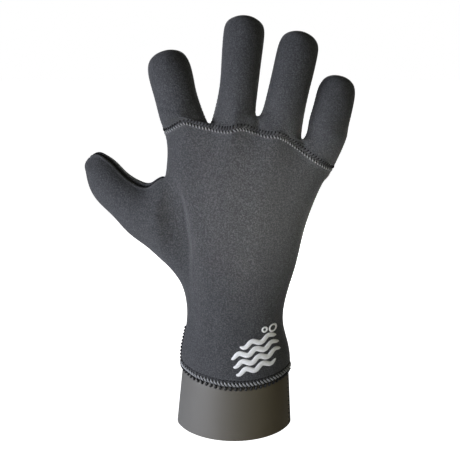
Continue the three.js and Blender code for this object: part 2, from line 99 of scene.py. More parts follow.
print("wrist to knuckles:", CUFF_HEIGHT + HAND_LENGTH)

# %% Tables of the fingers, the hand's rings, the knuckle seam and the thumb
FINGERS = {
    "index": dict(wide=1.03, deep=1.04, flare=1.03, long=0.667, step=-1.338,
                  rise=0.113, web=0.075, lean=-14, curl=4, bend=22),
    "middle": dict(wide=0.92, deep=1.02, flare=1.08, long=0.993, step=1.37,
                   rise=0.12, web=0.165, lean=5.8, curl=3, bend=22),
    "ring": dict(wide=0.99, deep=1.0, flare=1.0, long=0.895, step=1.142,
                 rise=0.17, web=0.075, lean=13.2, curl=3, bend=22),
    "little": dict(wide=0.99, deep=0.96, flare=0.95, long=0.635, step=1.113,
                   rise=0.14, web=0, lean=13.6, curl=4, bend=22),
}
SHAFT = [dict(along=0.3, flare=0.2), dict(along=0.66, flare=0.6), dict(along=1.0, flare=1.0)]
TIP = dict(shaft=0.56, ring=0.19, wide=0.82)
HAND = [
    dict(at=0.0, hem=1.0, tilt=0.0, thumb=-0.558, little=0.593, back=0.588, palm=0.588,
         mound=0.0, edge=0.56, knuckle=0.0, sag=0.0),
    dict(at=0.1, hem=0.6, tilt=0.0, thumb=-0.545, little=0.574, back=0.555, palm=0.555,
         mound=0.0, edge=0.54, knuckle=0.0, sag=0.0),
    dict(at=0.23, hem=0.2, tilt=0.0, thumb=-0.492, little=0.508, back=0.5, palm=0.5,
         mound=0.1, edge=0.5, knuckle=0.0, sag=0.0),
    dict(at=0.385, hem=0, tilt=0.1, thumb=-0.555, little=0.572, back=0.47, palm=0.5,
         mound=0.5, edge=0.47, knuckle=0.15, sag=0.0),
    dict(at=0.51, hem=0, tilt=0.36, thumb=-0.57, little=0.64, back=0.45, palm=0.52,
         mound=1.0, edge=0.45, knuckle=0.35, sag=0.0),
    dict(at=0.67, hem=0, tilt=0.73, thumb=-0.6, little=0.705, back=0.43, palm=0.5,
         mound=1.0, edge=0.44, knuckle=0.6, sag=0.0),
    dict(at=0.812, hem=0, tilt=1.05, thumb=-0.69, little=0.785, back=0.4, palm=0.43,
         mound=0.8, edge=0.43, knuckle=0.8, sag=0.02),
    dict(at=0.91, hem=0, tilt=1.05, thumb=-0.668, little=0.895, back=0.37, palm=0.37,
         mound=0.5, edge=0.43, knuckle=0.9, sag=0.06),
]
THUMB_ROWS = range(3, 7)
SEAM = dict(thumb=-0.698, little=0.988, back=0.33, palm=0.29, mound=0.2, edge=0.43, knuckle=1.0, sag=0.1)
SEAM_ACROSS = [-1.0, -0.81, -0.687, -0.53, -0.28, -0.05, 0.087, 0.3, 0.45, 0.62, 0.83, 1.0]
SEAM_HEIGHT = [-0.06, 0.058, 0.07, 0.012, 0.0, 0.033, 0.0, 0.04, 0.022, -0.035, -0.085, -0.115]
THUMB = [
    dict(out=0.158, up=0.1, forward=0.04, turn=3, roll=0.2, wide=2.1, deep=1.1),
    dict(out=0.266, up=0.137, forward=0.07, turn=10, roll=0.5, wide=1.68, deep=1.1),
    dict(out=0.377, up=0.178, forward=0.11, turn=23, roll=0.8, wide=1.37, deep=1.06),
    dict(out=0.494, up=0.26, forward=0.155, turn=34, roll=1.0, wide=1.14, deep=1.0),
    dict(out=0.612, up=0.35, forward=0.2, turn=41, roll=1.0, wide=1.06, deep=1.0),
    dict(out=0.703, up=0.455, forward=0.245, turn=46, roll=1.0, wide=0.97, deep=0.94),
    dict(out=0.768, up=0.55, forward=0.275, turn=48, roll=1.0, wide=0.735, deep=0.7),
]
THUMB_CROWN = dict(out=0.822, up=0.612, forward=0.3, apart=0.16)
print(len(HAND), "rings of the hand,", len(FINGERS), "fingers")

# %% [markdown]
# Points across the hand
#
# Every ring of the hand has three points for each finger on its back, so that the fingers grow out of it
# with no odd faces. Places across the hand are shares from -1 on the thumb's side to 1 on the little
# finger's side.

# %% Shares across the hand
BACK, FINGER_BACKS, PALM, FINGER_PALMS, THUMB_PALM = range(5)
fingers = list(FINGERS.values())
BACK_POINTS = 3 * len(fingers)
LITTLE_SIDE = BACK_POINTS
THUMB_SIDE = 2 * BACK_POINTS + 1
RING = THUMB_SIDE + 1
FINGER_RING = 8
THUMB_RING = 2 * (len(THUMB_ROWS) + 1)
KNUCKLES = CUFF_HEIGHT + HAND_LENGTH

roots_x = np.cumsum([finger["step"] * FINGER_WIDTH for finger in fingers])
half_widths = np.array([0.5 * finger["wide"] * FINGER_WIDTH for finger in fingers])
SPAN = (roots_x[0] - half_widths[0], roots_x[-1] + half_widths[-1])


def lerp(a, b, t):
    return a + (b - a) * t


def across(x):
    return 2 * (x - SPAN[0]) / (SPAN[1] - SPAN[0]) - 1


def knuckle_line(t):
    beyond = max(0.0, (t - KNUCKLE_TURN) / (1 - KNUCKLE_TURN))
    return KNUCKLES - KNUCKLE_DROP * beyond**KNUCKLE_POWER


BACK_SHARES = [
    across(x + corner * half * math.sqrt(0.5))
    for x, half in zip(roots_x, half_widths)
    for corner in (-1, 0, 1)
]
RIPPLES = [-KNUCKLE_KNOB if k % 3 == 1 else float(0 < k < BACK_POINTS - 1) for k in range(BACK_POINTS)]
print("hand spans", [round(x, 4) for x in SPAN])

# %% The cage's bookkeeping: points, faces and the panel that each face belongs to
class Cage:
    def __init__(self):
        self.points, self.faces, self.panels = [], [], []

    def point(self, xyz):
        self.points.append(np.array(xyz, float))
        return len(self.points) - 1

    def ring(self, places):
        return [self.point(place) for place in places]

    def face(self, panel, *corners):
        self.faces.append(corners)
        self.panels.append(panel)

    def join(self, lower, upper, panel_of):
        for k in range(len(lower)):
            after = (k + 1) % len(lower)
            self.face(panel_of(k), lower[k], lower[after], upper[after], upper[k])


# %% [markdown]
# Rings of the hand
#
# A glove is widest at the knuckles and flat there, and nearly oval at the wrist. Each ring is a bulging
# outline whose power makes its edges lean or full. The palm side adds the two pads at the roots of the
# thumb and the little finger.

# %% One ring round the hand
def pads(t):
    hump = 0.5 * (1 - math.cos(2 * math.pi * min(1.0, abs(t))))
    return hump - PALM_HOLLOW * (1 - t * t)


def hand_ring(row, height):
    left, right = row["thumb"] * WRIST_WIDTH, row["little"] * WRIST_WIDTH
    back, palm = row["back"] * WRIST_DEPTH, row["palm"] * WRIST_DEPTH

    def x(t):
        return lerp(left, right, (t + 1) / 2)

    def arch(t):
        return row["knuckle"] * KNUCKLE_ARCH * t * t

    def bulge(t):
        return (1 - t * t) ** row["edge"]

    ripple = row["knuckle"] ** 5 * KNUCKLE_RIPPLE
    back_row = [
        (x(t), arch(t) - back * bulge(t) + ripple * RIPPLES[k], height(t))
        for k, t in enumerate(BACK_SHARES)
    ]
    palm_row = [
        (x(t), arch(t) + palm * bulge(t) + row["mound"] * PALM_MOUND * pads(t),
         height(t) - row["sag"] * FINGER_LENGTH)
        for t in reversed(BACK_SHARES)
    ]
    return back_row + [(x(1), arch(1), height(1))] + palm_row + [(x(-1), arch(-1), height(-1))]


def hem_lift(t):
    return HEM_LIFT * t * t - HEM_TILT * t


def hand_level(row):
    level = CUFF_HEIGHT + row["at"] * HAND_LENGTH
    return lambda t: level + row["hem"] * hem_lift(t) - row["tilt"] * (KNUCKLES - knuckle_line(t))


# %% A smooth curve through the knuckle seam's table
def centripetal(xs, ys, steps=20):
    places = np.column_stack([xs, ys])
    places = np.vstack([2 * places[0] - places[1], places, 2 * places[-1] - places[-2]])
    curve = []
    for p0, p1, p2, p3 in zip(places, places[1:], places[2:], places[3:]):
        d0, d1, d2 = (math.dist(a, b) ** 0.5 for a, b in ((p0, p1), (p1, p2), (p2, p3)))
        start = ((p1 - p0) / d0 - (p2 - p0) / (d0 + d1) + (p2 - p1) / d1) * d1
        end = ((p2 - p1) / d1 - (p3 - p1) / (d1 + d2) + (p3 - p2) / d2) * d1
        for t in np.arange(steps) / steps:
            square, cube = 3 * (p2 - p1) - 2 * start - end, 2 * (p1 - p2) + start + end
            curve.append(p1 + start * t + square * t**2 + cube * t**3)
    return np.array(curve + [places[-2]])


seam_curve = centripetal(SEAM_ACROSS, SEAM_HEIGHT)


def seam_level(t):
    return knuckle_line(t) + np.interp(t, seam_curve[:, 0], seam_curve[:, 1]) * FINGER_LENGTH


print("seam curve:", len(seam_curve), "points")

# %% [markdown]
# Fingers
#
# A finger is a bent tube. Its centreline leans to the side and turns steadily towards the palm, and each
# ring stands square to it. The rings beside a web share their height with it, so that the skin folds
# there as a sewn fork does.

# %% Rings of a finger or the thumb, and a finger's bent centreline
def limb_ring(centre, side, back, half_width, half_depth, count, first):
    angles = first + 2 * math.pi * np.arange(count) / count
    return centre + np.outer(half_width * np.sin(angles), side) + np.outer(half_depth * np.cos(angles), back)


def finger_frames(finger, root, steps=24):
    lean = math.radians(finger["lean"])
    length = finger["long"] * FINGER_LENGTH
    side = np.array([math.cos(lean), 0, -math.sin(lean)])

    def heading(s):
        turn = math.radians(lerp(finger["curl"], finger["bend"], s / length))
        return np.array([math.sin(lean) * math.cos(turn), math.sin(turn), math.cos(lean) * math.cos(turn)])

    def frame_at(s):
        centre = root + sum(heading((k + 0.5) * s / steps) for k in range(steps)) * s / steps
        return centre, side, np.cross(side, heading(s))

    return frame_at


def finger_panel(k):
    return FINGER_BACKS if k < 3 or k == FINGER_RING - 1 else FINGER_PALMS


# %% One finger: its shaft, its rounded tip and the cap of four faces
def add_finger(cage, finger, base, frame_at):
    length = finger["long"] * FINGER_LENGTH
    width, depth = finger["wide"] * FINGER_WIDTH, finger["deep"] * FINGER_DEPTH
    shaft = length - TIP["shaft"] * width
    stations = [(row["along"] * shaft, lerp(1, finger["flare"], row["flare"])) for row in SHAFT]
    stations.append((length - TIP["ring"] * width, TIP["wide"] * finger["flare"]))
    lower = base
    for s, wide in stations:
        half_width, half_depth = wide * width / 2, wide * depth / 2
        upper = cage.ring(limb_ring(*frame_at(s), half_width, half_depth, FINGER_RING, -math.pi / 4))
        cage.join(lower, upper, finger_panel)
        lower = upper
    top = cage.point(frame_at(length)[0])
    b0, b1, b2, far, p2, p1, p0, near = lower
    cage.face(FINGER_BACKS, b0, b1, top, near)
    cage.face(FINGER_BACKS, b1, b2, far, top)
    cage.face(FINGER_PALMS, near, top, p1, p0)
    cage.face(FINGER_PALMS, top, far, p2, p1)


def finger_roots(cage):
    frames, rings = [], []
    for finger, x in zip(fingers, roots_x):
        t = across(x)
        height = knuckle_line(t) + finger["rise"] * FINGER_LENGTH
        frame_at = finger_frames(finger, np.array([x, KNUCKLE_ARCH * t * t - FINGER_SET, height]))
        half_width, half_depth = finger["wide"] * FINGER_WIDTH / 2, finger["deep"] * FINGER_DEPTH / 2
        rings.append(limb_ring(*frame_at(0), half_width, half_depth, FINGER_RING, -math.pi / 4))
        frames.append(frame_at)
    for finger, a, b in zip(fingers, rings, rings[1:]):
        middle = (a[3] + b[7]) / 2
        middle[2] = knuckle_line(across(middle[0])) + finger["web"] * FINGER_LENGTH
        a[3] = middle - (WEB_GAP / 2, 0, 0)
        b[7] = middle + (WEB_GAP / 2, 0, 0)
        a[2][2] = b[0][2] = middle[2] + WEB_TILT
        a[4][2] = b[6][2] = middle[2] - WEB_TILT
    return [cage.ring(ring) for ring in rings], frames


# %% [markdown]
# The thumb
#
# The thumb grows out of a patch on the hand's side, where the cage leaves a hole four rings high. Its
# rings swing forward and up, and the last one is closed with a small grid of six faces.

# %% The thumb's rings and cap
def add_thumb(cage, rows):
    first, last = THUMB_ROWS[0], THUMB_ROWS[-1]
    base = [rows[row][0] for row in THUMB_ROWS]
    base.append(rows[last][THUMB_SIDE])
    base += [rows[row][THUMB_SIDE - 1] for row in reversed(THUMB_ROWS)]
    base.append(rows[first][THUMB_SIDE])
    root = np.mean([cage.points[k] for k in base], axis=0)
    back_count = len(THUMB_ROWS)

    def panel_of(k):
        return BACK if k < back_count or k == THUMB_RING - 1 else THUMB_PALM

    def place(row):
        return root + THUMB_LENGTH * np.array([-row["out"], row["forward"], row["up"]])

    lower = base
    for row in THUMB:
        turn = math.radians(row["turn"])
        side = np.array([math.sin(turn), 0, math.cos(turn)])
        start = math.radians(-(back_count - 1) * 180 / THUMB_RING + row["roll"] * THUMB_ROLL)
        half_width, half_depth = row["wide"] * THUMB_WIDTH / 2, row["deep"] * THUMB_DEPTH / 2
        ring = limb_ring(place(row), side, np.array([0, -1, 0]), half_width, half_depth, THUMB_RING, start)
        upper = cage.ring(ring)
        cage.join(lower, upper, panel_of)
        lower = upper

    apart = THUMB_CROWN["apart"] * THUMB_WIDTH
    inner, outer = (cage.point(place(THUMB_CROWN) + sign * apart * side) for sign in (-1, 1))
    back_row, far = lower[:back_count], lower[back_count]
    palm_row, near = lower[-2:back_count:-1], lower[-1]
    middle = [near, inner, outer, far]
    for k in range(back_count - 1):
        cage.face(BACK, back_row[k], back_row[k + 1], middle[k + 1], middle[k])
        cage.face(THUMB_PALM, middle[k], middle[k + 1], palm_row[k + 1], palm_row[k])


# %% The whole hand's cage
def hand_cage():
    cage = Cage()
    rows = [cage.ring(hand_ring(row, hand_level(row))) for row in HAND]
    rows.append(cage.ring(hand_ring(SEAM, seam_level)))
    rings, frames = finger_roots(cage)
    top = [ring[k] for ring in rings for k in range(3)] + [rings[-1][3]]
    top += [ring[6 - k] for ring in reversed(rings) for k in (2, 1, 0)] + [rings[0][7]]
    thumb_hole = {(row, k) for row in THUMB_ROWS[:-1] for k in (THUMB_SIDE - 1, THUMB_SIDE)}
    for row, (lower, upper) in enumerate(zip(rows, rows[1:] + [top])):
        back_panel, palm_panel = (FINGER_BACKS, FINGER_PALMS) if row == len(rows) - 1 else (BACK, PALM)
        for k in range(RING):
            if (row, k) in thumb_hole:
                continue
            after = (k + 1) % RING
            panel = back_panel if k < LITTLE_SIDE or k == THUMB_SIDE else palm_panel
            cage.face(panel, lower[k], lower[after], upper[after], upper[k])
    for a, b in zip(rings, rings[1:]):
        cage.face(FINGER_BACKS, a[2], b[0], b[7], a[3])
        cage.face(FINGER_PALMS, a[3], b[7], b[6], a[4])
    for finger, ring, frame_at in zip(fingers, rings, frames):
        add_finger(cage, finger, ring, frame_at)
    add_thumb(cage, rows)
    return cage


hand = hand_cage()
print("hand cage:", len(hand.points), "points,", len(hand.faces), "faces")

# %% The cuff's cage: a plain tube from its rim to the seam
def cuff_row(share):
    """The cuff's outline at a share of its height, in the terms of the hand's rings."""
    top = HAND[0]
    return dict(
        top,
        edge=lerp(RIM_EDGE, top["edge"], share),
        thumb=lerp(-RIM_WIDTH / 2 / WRIST_WIDTH, top["thumb"] + CUFF_STEP / WRIST_WIDTH, share),
        little=lerp(RIM_WIDTH / 2 / WRIST_WIDTH, top["little"] - CUFF_STEP / WRIST_WIDTH, share),
        back=lerp(RIM_DEPTH / 2 / WRIST_DEPTH, top["back"] - CUFF_STEP / WRIST_DEPTH, share),
        palm=lerp(RIM_DEPTH / 2 / WRIST_DEPTH, top["palm"] - CUFF_STEP / WRIST_DEPTH, share),
    )


def cuff_top(t):
    return CUFF_HEIGHT + hem_lift(t)


def cuff_cage():
    cage = Cage()
    rows = [cage.ring(hand_ring(cuff_row(share), lambda t: share * cuff_top(t))) for share in (0, 0.5, 1)]
    for lower, upper in zip(rows, rows[1:]):
        cage.join(lower, upper, lambda k: BACK)
    return cage


cuff = cuff_cage()
print("cuff cage:", len(cuff.faces), "faces")

# %% [markdown]
# From cage to smooth skin
#
# A Subdivision Surface modifier with its limit surface on gives the skin that endless rounds would reach.
# It runs inside its cage, so fingers would come out thin. The cage is let out by the distance that its
# points miss, a few rounds over, until the skin passes through the drawn points. Only then is it divided
# finely.

# %% Subdivide with the modifier and read the result as arrays
def cage_object(name, cage):
    mesh = bpy.data.meshes.new(name)
    mesh.from_pydata([tuple(p) for p in cage.points], [], cage.faces)
    mesh.polygons.foreach_set("material_index", cage.panels)
    piece = bpy.data.objects.new(name, mesh)
    bpy.context.scene.collection.objects.link(piece)
    modifier = piece.modifiers.new("Smooth skin", "SUBSURF")
    modifier.use_limit_surface = True
    return piece


def read(vectors, width, kind=float, field="co"):
    values = np.empty(len(vectors) * width, kind)
    vectors.foreach_get(field, values)
    return values.reshape(-1, width) if width > 1 else values


def subdivided(piece, level):
    piece.modifiers["Smooth skin"].levels = level
    graph = bpy.context.evaluated_depsgraph_get()
    mesh = bpy.data.meshes.new_from_object(piece.evaluated_get(graph))
    skin = dict(
        points=read(mesh.vertices, 3),
        quads=read(mesh.loops, 1, np.int32, "vertex_index").reshape(-1, 4),
        panels=read(mesh.polygons, 1, np.int32, "material_index"),
        normals=read(mesh.vertex_normals, 3, float, "vector"),
    )
    bpy.data.meshes.remove(mesh)
    return skin


def let_out(piece, rounds=8):
    goals = read(piece.data.vertices, 3)
    for _ in range(rounds):
        missed = goals - subdivided(piece, 1)["points"][:len(goals)]
        places = read(piece.data.vertices, 3) + missed
        piece.data.vertices.foreach_set("co", places.ravel())
        piece.data.update()
    print(piece.name, "misses its points by at most", round(float(abs(missed).max()) * 1000, 4), "mm")


FINE, COARSE = 4, 3
skins = {}
for name, cage in (("hand", hand), ("cuff", cuff)):
    piece = cage_object(name + "_cage", cage)
    let_out(piece)
    skins[name] = {level: subdivided(piece, level) for level in (FINE, COARSE)}
    bpy.data.objects.remove(piece)
    print(name, "skin:", len(skins[name][FINE]["quads"]), "faces")

# %% [markdown]
# Seams in the skin
#
# The panels are glued edge to edge and sewn, so the skin sinks into a narrow valley along each seam and
# stands up in a soft ridge beside it. A bump texture would leave the outline smooth, so the form is made
# in the mesh: every point knows its distance to the nearest seam and moves along its normal by that
# profile. The distance stays on the mesh as an attribute, for the painted shade in the valley and the
# painted highlight on the ridge that the material adds. A second attribute sets the painted shade's
# strength: full along the side seams, where it also stands for their dense dark thread, and faint over
# the knuckles and at the hem, which stay open and pale.

# %% Edges of a skin, and the seams as chains of points
def edges_of(skin):
    quads = skin["quads"]
    ends = np.sort(np.stack([quads.ravel(), np.roll(quads, -1, axis=1).ravel()], axis=1), axis=1)
    panel = np.repeat(skin["panels"], 4)
    edges, first, which, count = np.unique(
        ends, axis=0, return_index=True, return_inverse=True, return_counts=True)
    total = np.bincount(which.ravel(), weights=panel)
    low = panel[first]
    return edges, low, (total - low).astype(int), count


def chains(edges):
    near = {}
    for a, b in edges.tolist():
        near.setdefault(a, []).append(b)
        near.setdefault(b, []).append(a)
    paths = []
    while near:
        path = [min(near, key=lambda k: (len(near[k]), k))]
        while near.get(path[-1]):
            after = near[path[-1]].pop()
            near[after].remove(path[-1])
            path.append(after)
        near = {k: others for k, others in near.items() if others}
        paths.append(path)
    return paths


def meets(first, second):
    return (count == 2) & ((one == first) & (other == second) | (one == second) & (other == first))


skin = skins["hand"][FINE]
edges, one, other, count = edges_of(skin)
between = {
    "knuckle": meets(BACK, FINGER_BACKS),
    "side": (count == 2) & ((one < PALM) != (other < PALM)),
    "finger_root": meets(PALM, FINGER_PALMS),
    "thumb_root": meets(PALM, THUMB_PALM),
    "hem": count == 1,
}
seams = {name: max(chains(edges[mask]), key=len) for name, mask in between.items()}
for name, path in seams.items():
    steps = np.diff(skin["points"][path], axis=0)
    print(name, "seam:", len(path), "points,", round(np.linalg.norm(steps, axis=1).sum(), 3), "m")

# %% The valley and the ridge along a seam
# deep: the valley's depth; shade: the strength of the painted shade along the seam; spread: how much wider
# that shade reaches
SEAM_FORMS = {
    "knuckle": dict(deep=0.0004, shade=0.1, spread=1.0),
    "side": dict(deep=0.0008, shade=1.0, spread=1.6),
    "finger_root": dict(deep=0.0009, shade=1.0, spread=1.0),
    "thumb_root": dict(deep=0.0009, shade=1.0, spread=1.0),
    "hem": dict(deep=0.0002, shade=0.35, spread=1.0),
}
VALLEY_WIDTH = 0.0010
RIDGE = dict(high=0.00035, at=0.0022, wide=0.0010)
HEM_VALLEY = dict(deep=0.0005, at=0.0042, wide=0.0008)
SEAM_REACH = 0.01


def distance_to(points, path):
    tree = KDTree(len(path))
    for k in path:
        tree.insert(skin["points"][k], k)
    tree.balance()
    return np.array([tree.find(p)[2] for p in points])


def bell(x, width):
    return np.exp(-((x / width) ** 2))


def of_seams(key):
    return np.array([form[key] for form in SEAM_FORMS.values()])


away = np.stack([distance_to(skin["points"], seams[name]) for name in SEAM_FORMS])
nearest = away.argmin(axis=0)
to_sewn, to_hem = away[:-1].min(axis=0), away[-1]
valley = (of_seams("deep")[:, None] * bell(away, VALLEY_WIDTH)).max(axis=0)
rise = RIDGE["high"] * bell(to_sewn - RIDGE["at"], RIDGE["wide"]) - valley
rise -= HEM_VALLEY["deep"] * bell(to_hem - HEM_VALLEY["at"], HEM_VALLEY["wide"])
skin["seam"] = np.minimum(away.min(axis=0) / of_seams("spread")[nearest], SEAM_REACH)
skin["seam_shade"] = of_seams("shade")[nearest]
print("seams move the skin by", round(rise.min() * 1000, 2), "to", round(rise.max() * 1000, 2), "mm")

# %% [markdown]
# Evened forms
#
# The cage's points lie unevenly, since they follow the fingers. They leave faint upright edges in the skin
# further down, which light from the side shows. So the back of the glove is evened: each point moves
# towards the middle of its neighbours, over and over, but for those near a seam. The cuff's points move
# onto the outline that its formula gives, but for the two narrow ends, where the outline turns back.

# %% Even the back of the glove and the cuff
EVENING = dict(rounds=160, facing=(0.65, 0.9), from_seam=(0.003, 0.008), past_thumb=(-0.05, -0.038))
CUFF_ENDS = (0.06, 0.25)


def ramp(values, start, end):
    return np.clip((values - start) / (end - start), 0, 1)


def evened_points(skin, share, rounds):
    """The points, each moved by its share towards the middle of its neighbours, a number of times."""
    points = skin["points"].copy()
    a, b = edges_of(skin)[0].T
    total = len(points)
    near = np.bincount(a, minlength=total) + np.bincount(b, minlength=total)
    for _ in range(rounds):
        for axis in range(3):
            values = points[:, axis]
            middle = (np.bincount(a, values[b], total) + np.bincount(b, values[a], total)) / near
            points[:, axis] += share * (middle - values)
    return points


def onto_outline(points):
    x, y, z = points.T
    t = x / (RIM_WIDTH / 2)
    for _ in range(3):
        row = cuff_row(z / cuff_top(t))
        left, right = row["thumb"] * WRIST_WIDTH, row["little"] * WRIST_WIDTH
        t = np.clip(2 * (x - left) / (right - left) - 1, -1, 1)
    drawn = np.sign(y) * row["back"] * WRIST_DEPTH * (1 - t * t) ** row["edge"]
    return np.stack([x, lerp(y, drawn, ramp(1 - abs(t), *CUFF_ENDS)), z], axis=1)


on_back = np.zeros(len(skin["points"]))
on_back[np.unique(skin["quads"][skin["panels"] == BACK])] = 1
on_back *= ramp(-skin["normals"][:, 1], *EVENING["facing"])
on_back *= ramp(away.min(axis=0), *EVENING["from_seam"])
on_back *= ramp(skin["points"][:, 0], *EVENING["past_thumb"])
drawn = skin["points"]
skin["points"] = evened_points(skin, on_back, EVENING["rounds"])
moved = np.linalg.norm(skin["points"] - drawn, axis=1)
tube = skins["cuff"][FINE]
bent = tube["points"]
tube["points"] = onto_outline(bent)
print("evening moves the back by at most", round(moved.max() * 1000, 2), "mm, the cuff by",
      round(np.abs(tube["points"] - bent).max() * 1000, 2), "mm")

# %% [markdown]
# Creases
#
# Foam can't fold sharply. Where the glove bends, it only sinks: under each web, where the back meets the
# root of the thumb, and in shallow wrinkles across the fingers. Cloth simulation is the usual way to folds,
# but a glove that is worn is filled tight and has none, so each crease is a soft groove along a short line
# on the back, given by its two ends seen from the front (X and Z).

# %% Creases on the back of the hand
CREASES = {
    "under the first web": dict(ends=((-0.0154, 0.2240), (-0.0148, 0.2180)), deep=0.0009, wide=0.0026),
    "under the second web": dict(ends=((0.0165, 0.2270), (0.0155, 0.2190)), deep=0.0016, wide=0.0028),
    "under the third web": dict(ends=((0.0454, 0.2120), (0.0463, 0.2074)), deep=0.0010, wide=0.0026),
    "beside the thumb's root": dict(ends=((-0.0325, 0.1400), (-0.0285, 0.1050)), deep=0.0010, wide=0.0060),
    "in the fork of the thumb": dict(ends=((-0.0630, 0.1740), (-0.0500, 0.1640)), deep=0.0007, wide=0.0080),
    "index wrinkle": dict(ends=((-0.0511, 0.2388), (-0.0373, 0.2370)), deep=0.0003, wide=0.0014),
    "second index wrinkle": dict(ends=((-0.0490, 0.2335), (-0.0400, 0.2318)), deep=0.0003, wide=0.0013),
    "third index wrinkle": dict(ends=((-0.0480, 0.2285), (-0.0370, 0.2272)), deep=0.0002, wide=0.0013),
    "little wrinkle": dict(ends=((0.0532, 0.2250), (0.0590, 0.2240)), deep=0.0003, wide=0.0011),
    "second little wrinkle": dict(ends=((0.0525, 0.2222), (0.0580, 0.2212)), deep=0.0003, wide=0.0011),
}


def to_line(points, start, end):
    start, end = np.array(start), np.array(end)
    along = end - start
    share = np.clip((points - start) @ along / (along @ along), 0, 1)
    return np.linalg.norm(points - start - share[:, None] * along, axis=1)


seen_from_front = np.clip(-2 * skin["normals"][:, 1], 0, 1)
for crease in CREASES.values():
    to_crease = to_line(skin["points"][:, [0, 2]], *crease["ends"])
    rise -= crease["deep"] * bell(to_crease, crease["wide"]) * seen_from_front
skin["points"] = skin["points"] + rise[:, None] * skin["normals"]
print(len(CREASES), "creases, the deepest point is", round(-rise.min() * 1000, 2), "mm down")

# %% [markdown]
# Panels with a thickness
#
# Neoprene is foam, 3 mm thick here, and the glove is hollow. Solidify would cross itself in the tight
# webs between the fingers, so the wall is made by hand: an inner skin lies a wall's thickness below the
# outer one, along directions that are evened with their neighbours, and a strip of faces closes each cut
# edge. The inner skin is divided less finely, since it is plain. Neighbouring panels meet with no gap, as
# glued edges do: where two seams line up, even a slit of 0.3 mm can be seen through.

# %% Directions evened over the skin
INWARD_ROUNDS = 12
SHARP = dict(panel=math.radians(55), cuff=math.radians(50), print=math.radians(60))


def evened(skin, rounds):
    normals = skin["normals"].copy()
    a, b = edges_of(skin)[0].T
    for _ in range(rounds):
        total = normals.copy()
        np.add.at(total, a, normals[b])
        np.add.at(total, b, normals[a])
        normals = total / np.linalg.norm(total, axis=1, keepdims=True)
    return normals


skins["hand"][COARSE]["inward"] = evened(skins["hand"][COARSE], INWARD_ROUNDS)

# %% One panel as a closed mesh
def cut_edges(quads):
    directed = {(a, b) for quad in quads.tolist() for a, b in zip(quad, quad[1:] + quad[:1])}
    return {a: b for a, b in directed if (b, a) not in directed}


def panel_mesh(name, panel, wall):
    fine, coarse = skins["hand"][FINE], skins["hand"][COARSE]
    outer_quads = fine["quads"][fine["panels"] == panel]
    inner_quads = coarse["quads"][coarse["panels"] == panel]
    outer_rim, inner_rim = cut_edges(outer_quads), cut_edges(inner_quads)
    outer = fine["points"]
    inner = coarse["points"] - wall * coarse["inward"]

    tree = KDTree(len(outer_rim))
    for k in outer_rim:
        tree.insert(outer[k] - rise[k] * fine["normals"][k], k)
    tree.balance()
    matched = {k: tree.find(inner[k] + wall * coarse["inward"][k])[1] for k in inner_rim}

    shift = len(outer)
    faces = outer_quads.tolist() + (inner_quads[:, ::-1] + shift).tolist()
    for a, b in inner_rim.items():
        edge = [matched[a]]
        while edge[-1] != matched[b]:
            edge.append(outer_rim[edge[-1]])
        faces.append(edge[::-1] + [a + shift, b + shift])
    used = np.unique(np.concatenate([np.array(face) for face in faces]))
    place = np.zeros(used.max() + 1, int)
    place[used] = np.arange(len(used))
    mesh = bpy.data.meshes.new(name)
    points = np.vstack([outer, inner])[used]
    mesh.from_pydata(points.tolist(), [], [place[face].tolist() for face in faces])
    inside = [int(k >= len(outer_quads)) for k in range(len(faces))]
    mesh.polygons.foreach_set("material_index", inside)
    for label, inner_value in (("seam", SEAM_REACH), ("seam_shade", 0.0)):
        values = np.concatenate([fine[label], np.full(len(inner), inner_value)])[used]
        mesh.attributes.new(label, "FLOAT", "POINT").data.foreach_set("value", values.astype(np.float32))
    mesh.polygons.foreach_set("use_smooth", [True] * len(faces))
    mesh.set_sharp_from_angle(angle=SHARP["panel"])
    return mesh


def add_piece(name, mesh):
    piece = bpy.data.objects.new(name, mesh)
    bpy.context.scene.collection.objects.link(piece)
    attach(piece, "root")
    return piece


panels = {}
PANELS = {
    "back_panel": BACK,
    "finger_back_panel": FINGER_BACKS,
    "palm_panel": PALM,
    "finger_palm_panel": FINGER_PALMS,
    "thumb_palm_panel": THUMB_PALM,
}
for name, panel in PANELS.items():
    panels[name] = add_piece("knit_" + name, panel_mesh("knit_" + name, panel, NEOPRENE))
    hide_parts(name)
    print(name, len(panels[name].data.polygons), "faces")

# %% [markdown]
# The cuff
#
# Below the wrist seam the glove ends in a tube of bare smooth-skin neoprene. It is a plain form with no
# tight folds, so here the modifiers do the work: Solidify gives the wall and its own materials for lining
# and cut edge, and Bevel rounds the cut edges a little. The stitches pull its top in to a soft shoulder.

# %% The smooth-skin cuff
SHOULDER = dict(deep=0.0007, wide=0.0035)


def cuff_mesh():
    under_seam = distance_to(tube["points"], seams["hem"])
    pulled = SHOULDER["deep"] * bell(under_seam, SHOULDER["wide"])
    tube["points"] = tube["points"] - pulled[:, None] * tube["normals"]
    mesh = bpy.data.meshes.new("cuff_tube")
    mesh.from_pydata(tube["points"].tolist(), [], tube["quads"].tolist())
    draft = bpy.data.objects.new("cuff_draft", mesh)
    bpy.context.scene.collection.objects.link(draft)
    wall = draft.modifiers.new("Wall", "SOLIDIFY")
    wall.thickness, wall.offset = CUFF_SKIN, -1
    wall.material_offset, wall.material_offset_rim = 1, 2
    drafts = [bpy.data.materials.new(f"draft {slot}") for slot in range(3)]
    for draft_material in drafts:
        mesh.materials.append(draft_material)
    rounding = draft.modifiers.new("Rounded cut edges", "BEVEL")
    rounding.width, rounding.segments, rounding.limit_method = 0.0007, 3, "ANGLE"
    rounding.angle_limit = math.radians(60)
    graph = bpy.context.evaluated_depsgraph_get()
    made = bpy.data.meshes.new_from_object(draft.evaluated_get(graph))
    made.name = "smooth_cuff"
    bpy.data.objects.remove(draft)
    made.materials.clear()
    for draft_material in drafts:
        bpy.data.materials.remove(draft_material)
    made.polygons.foreach_set("use_smooth", [True] * len(made.polygons))
    made.set_sharp_from_angle(angle=SHARP["cuff"])
    return made


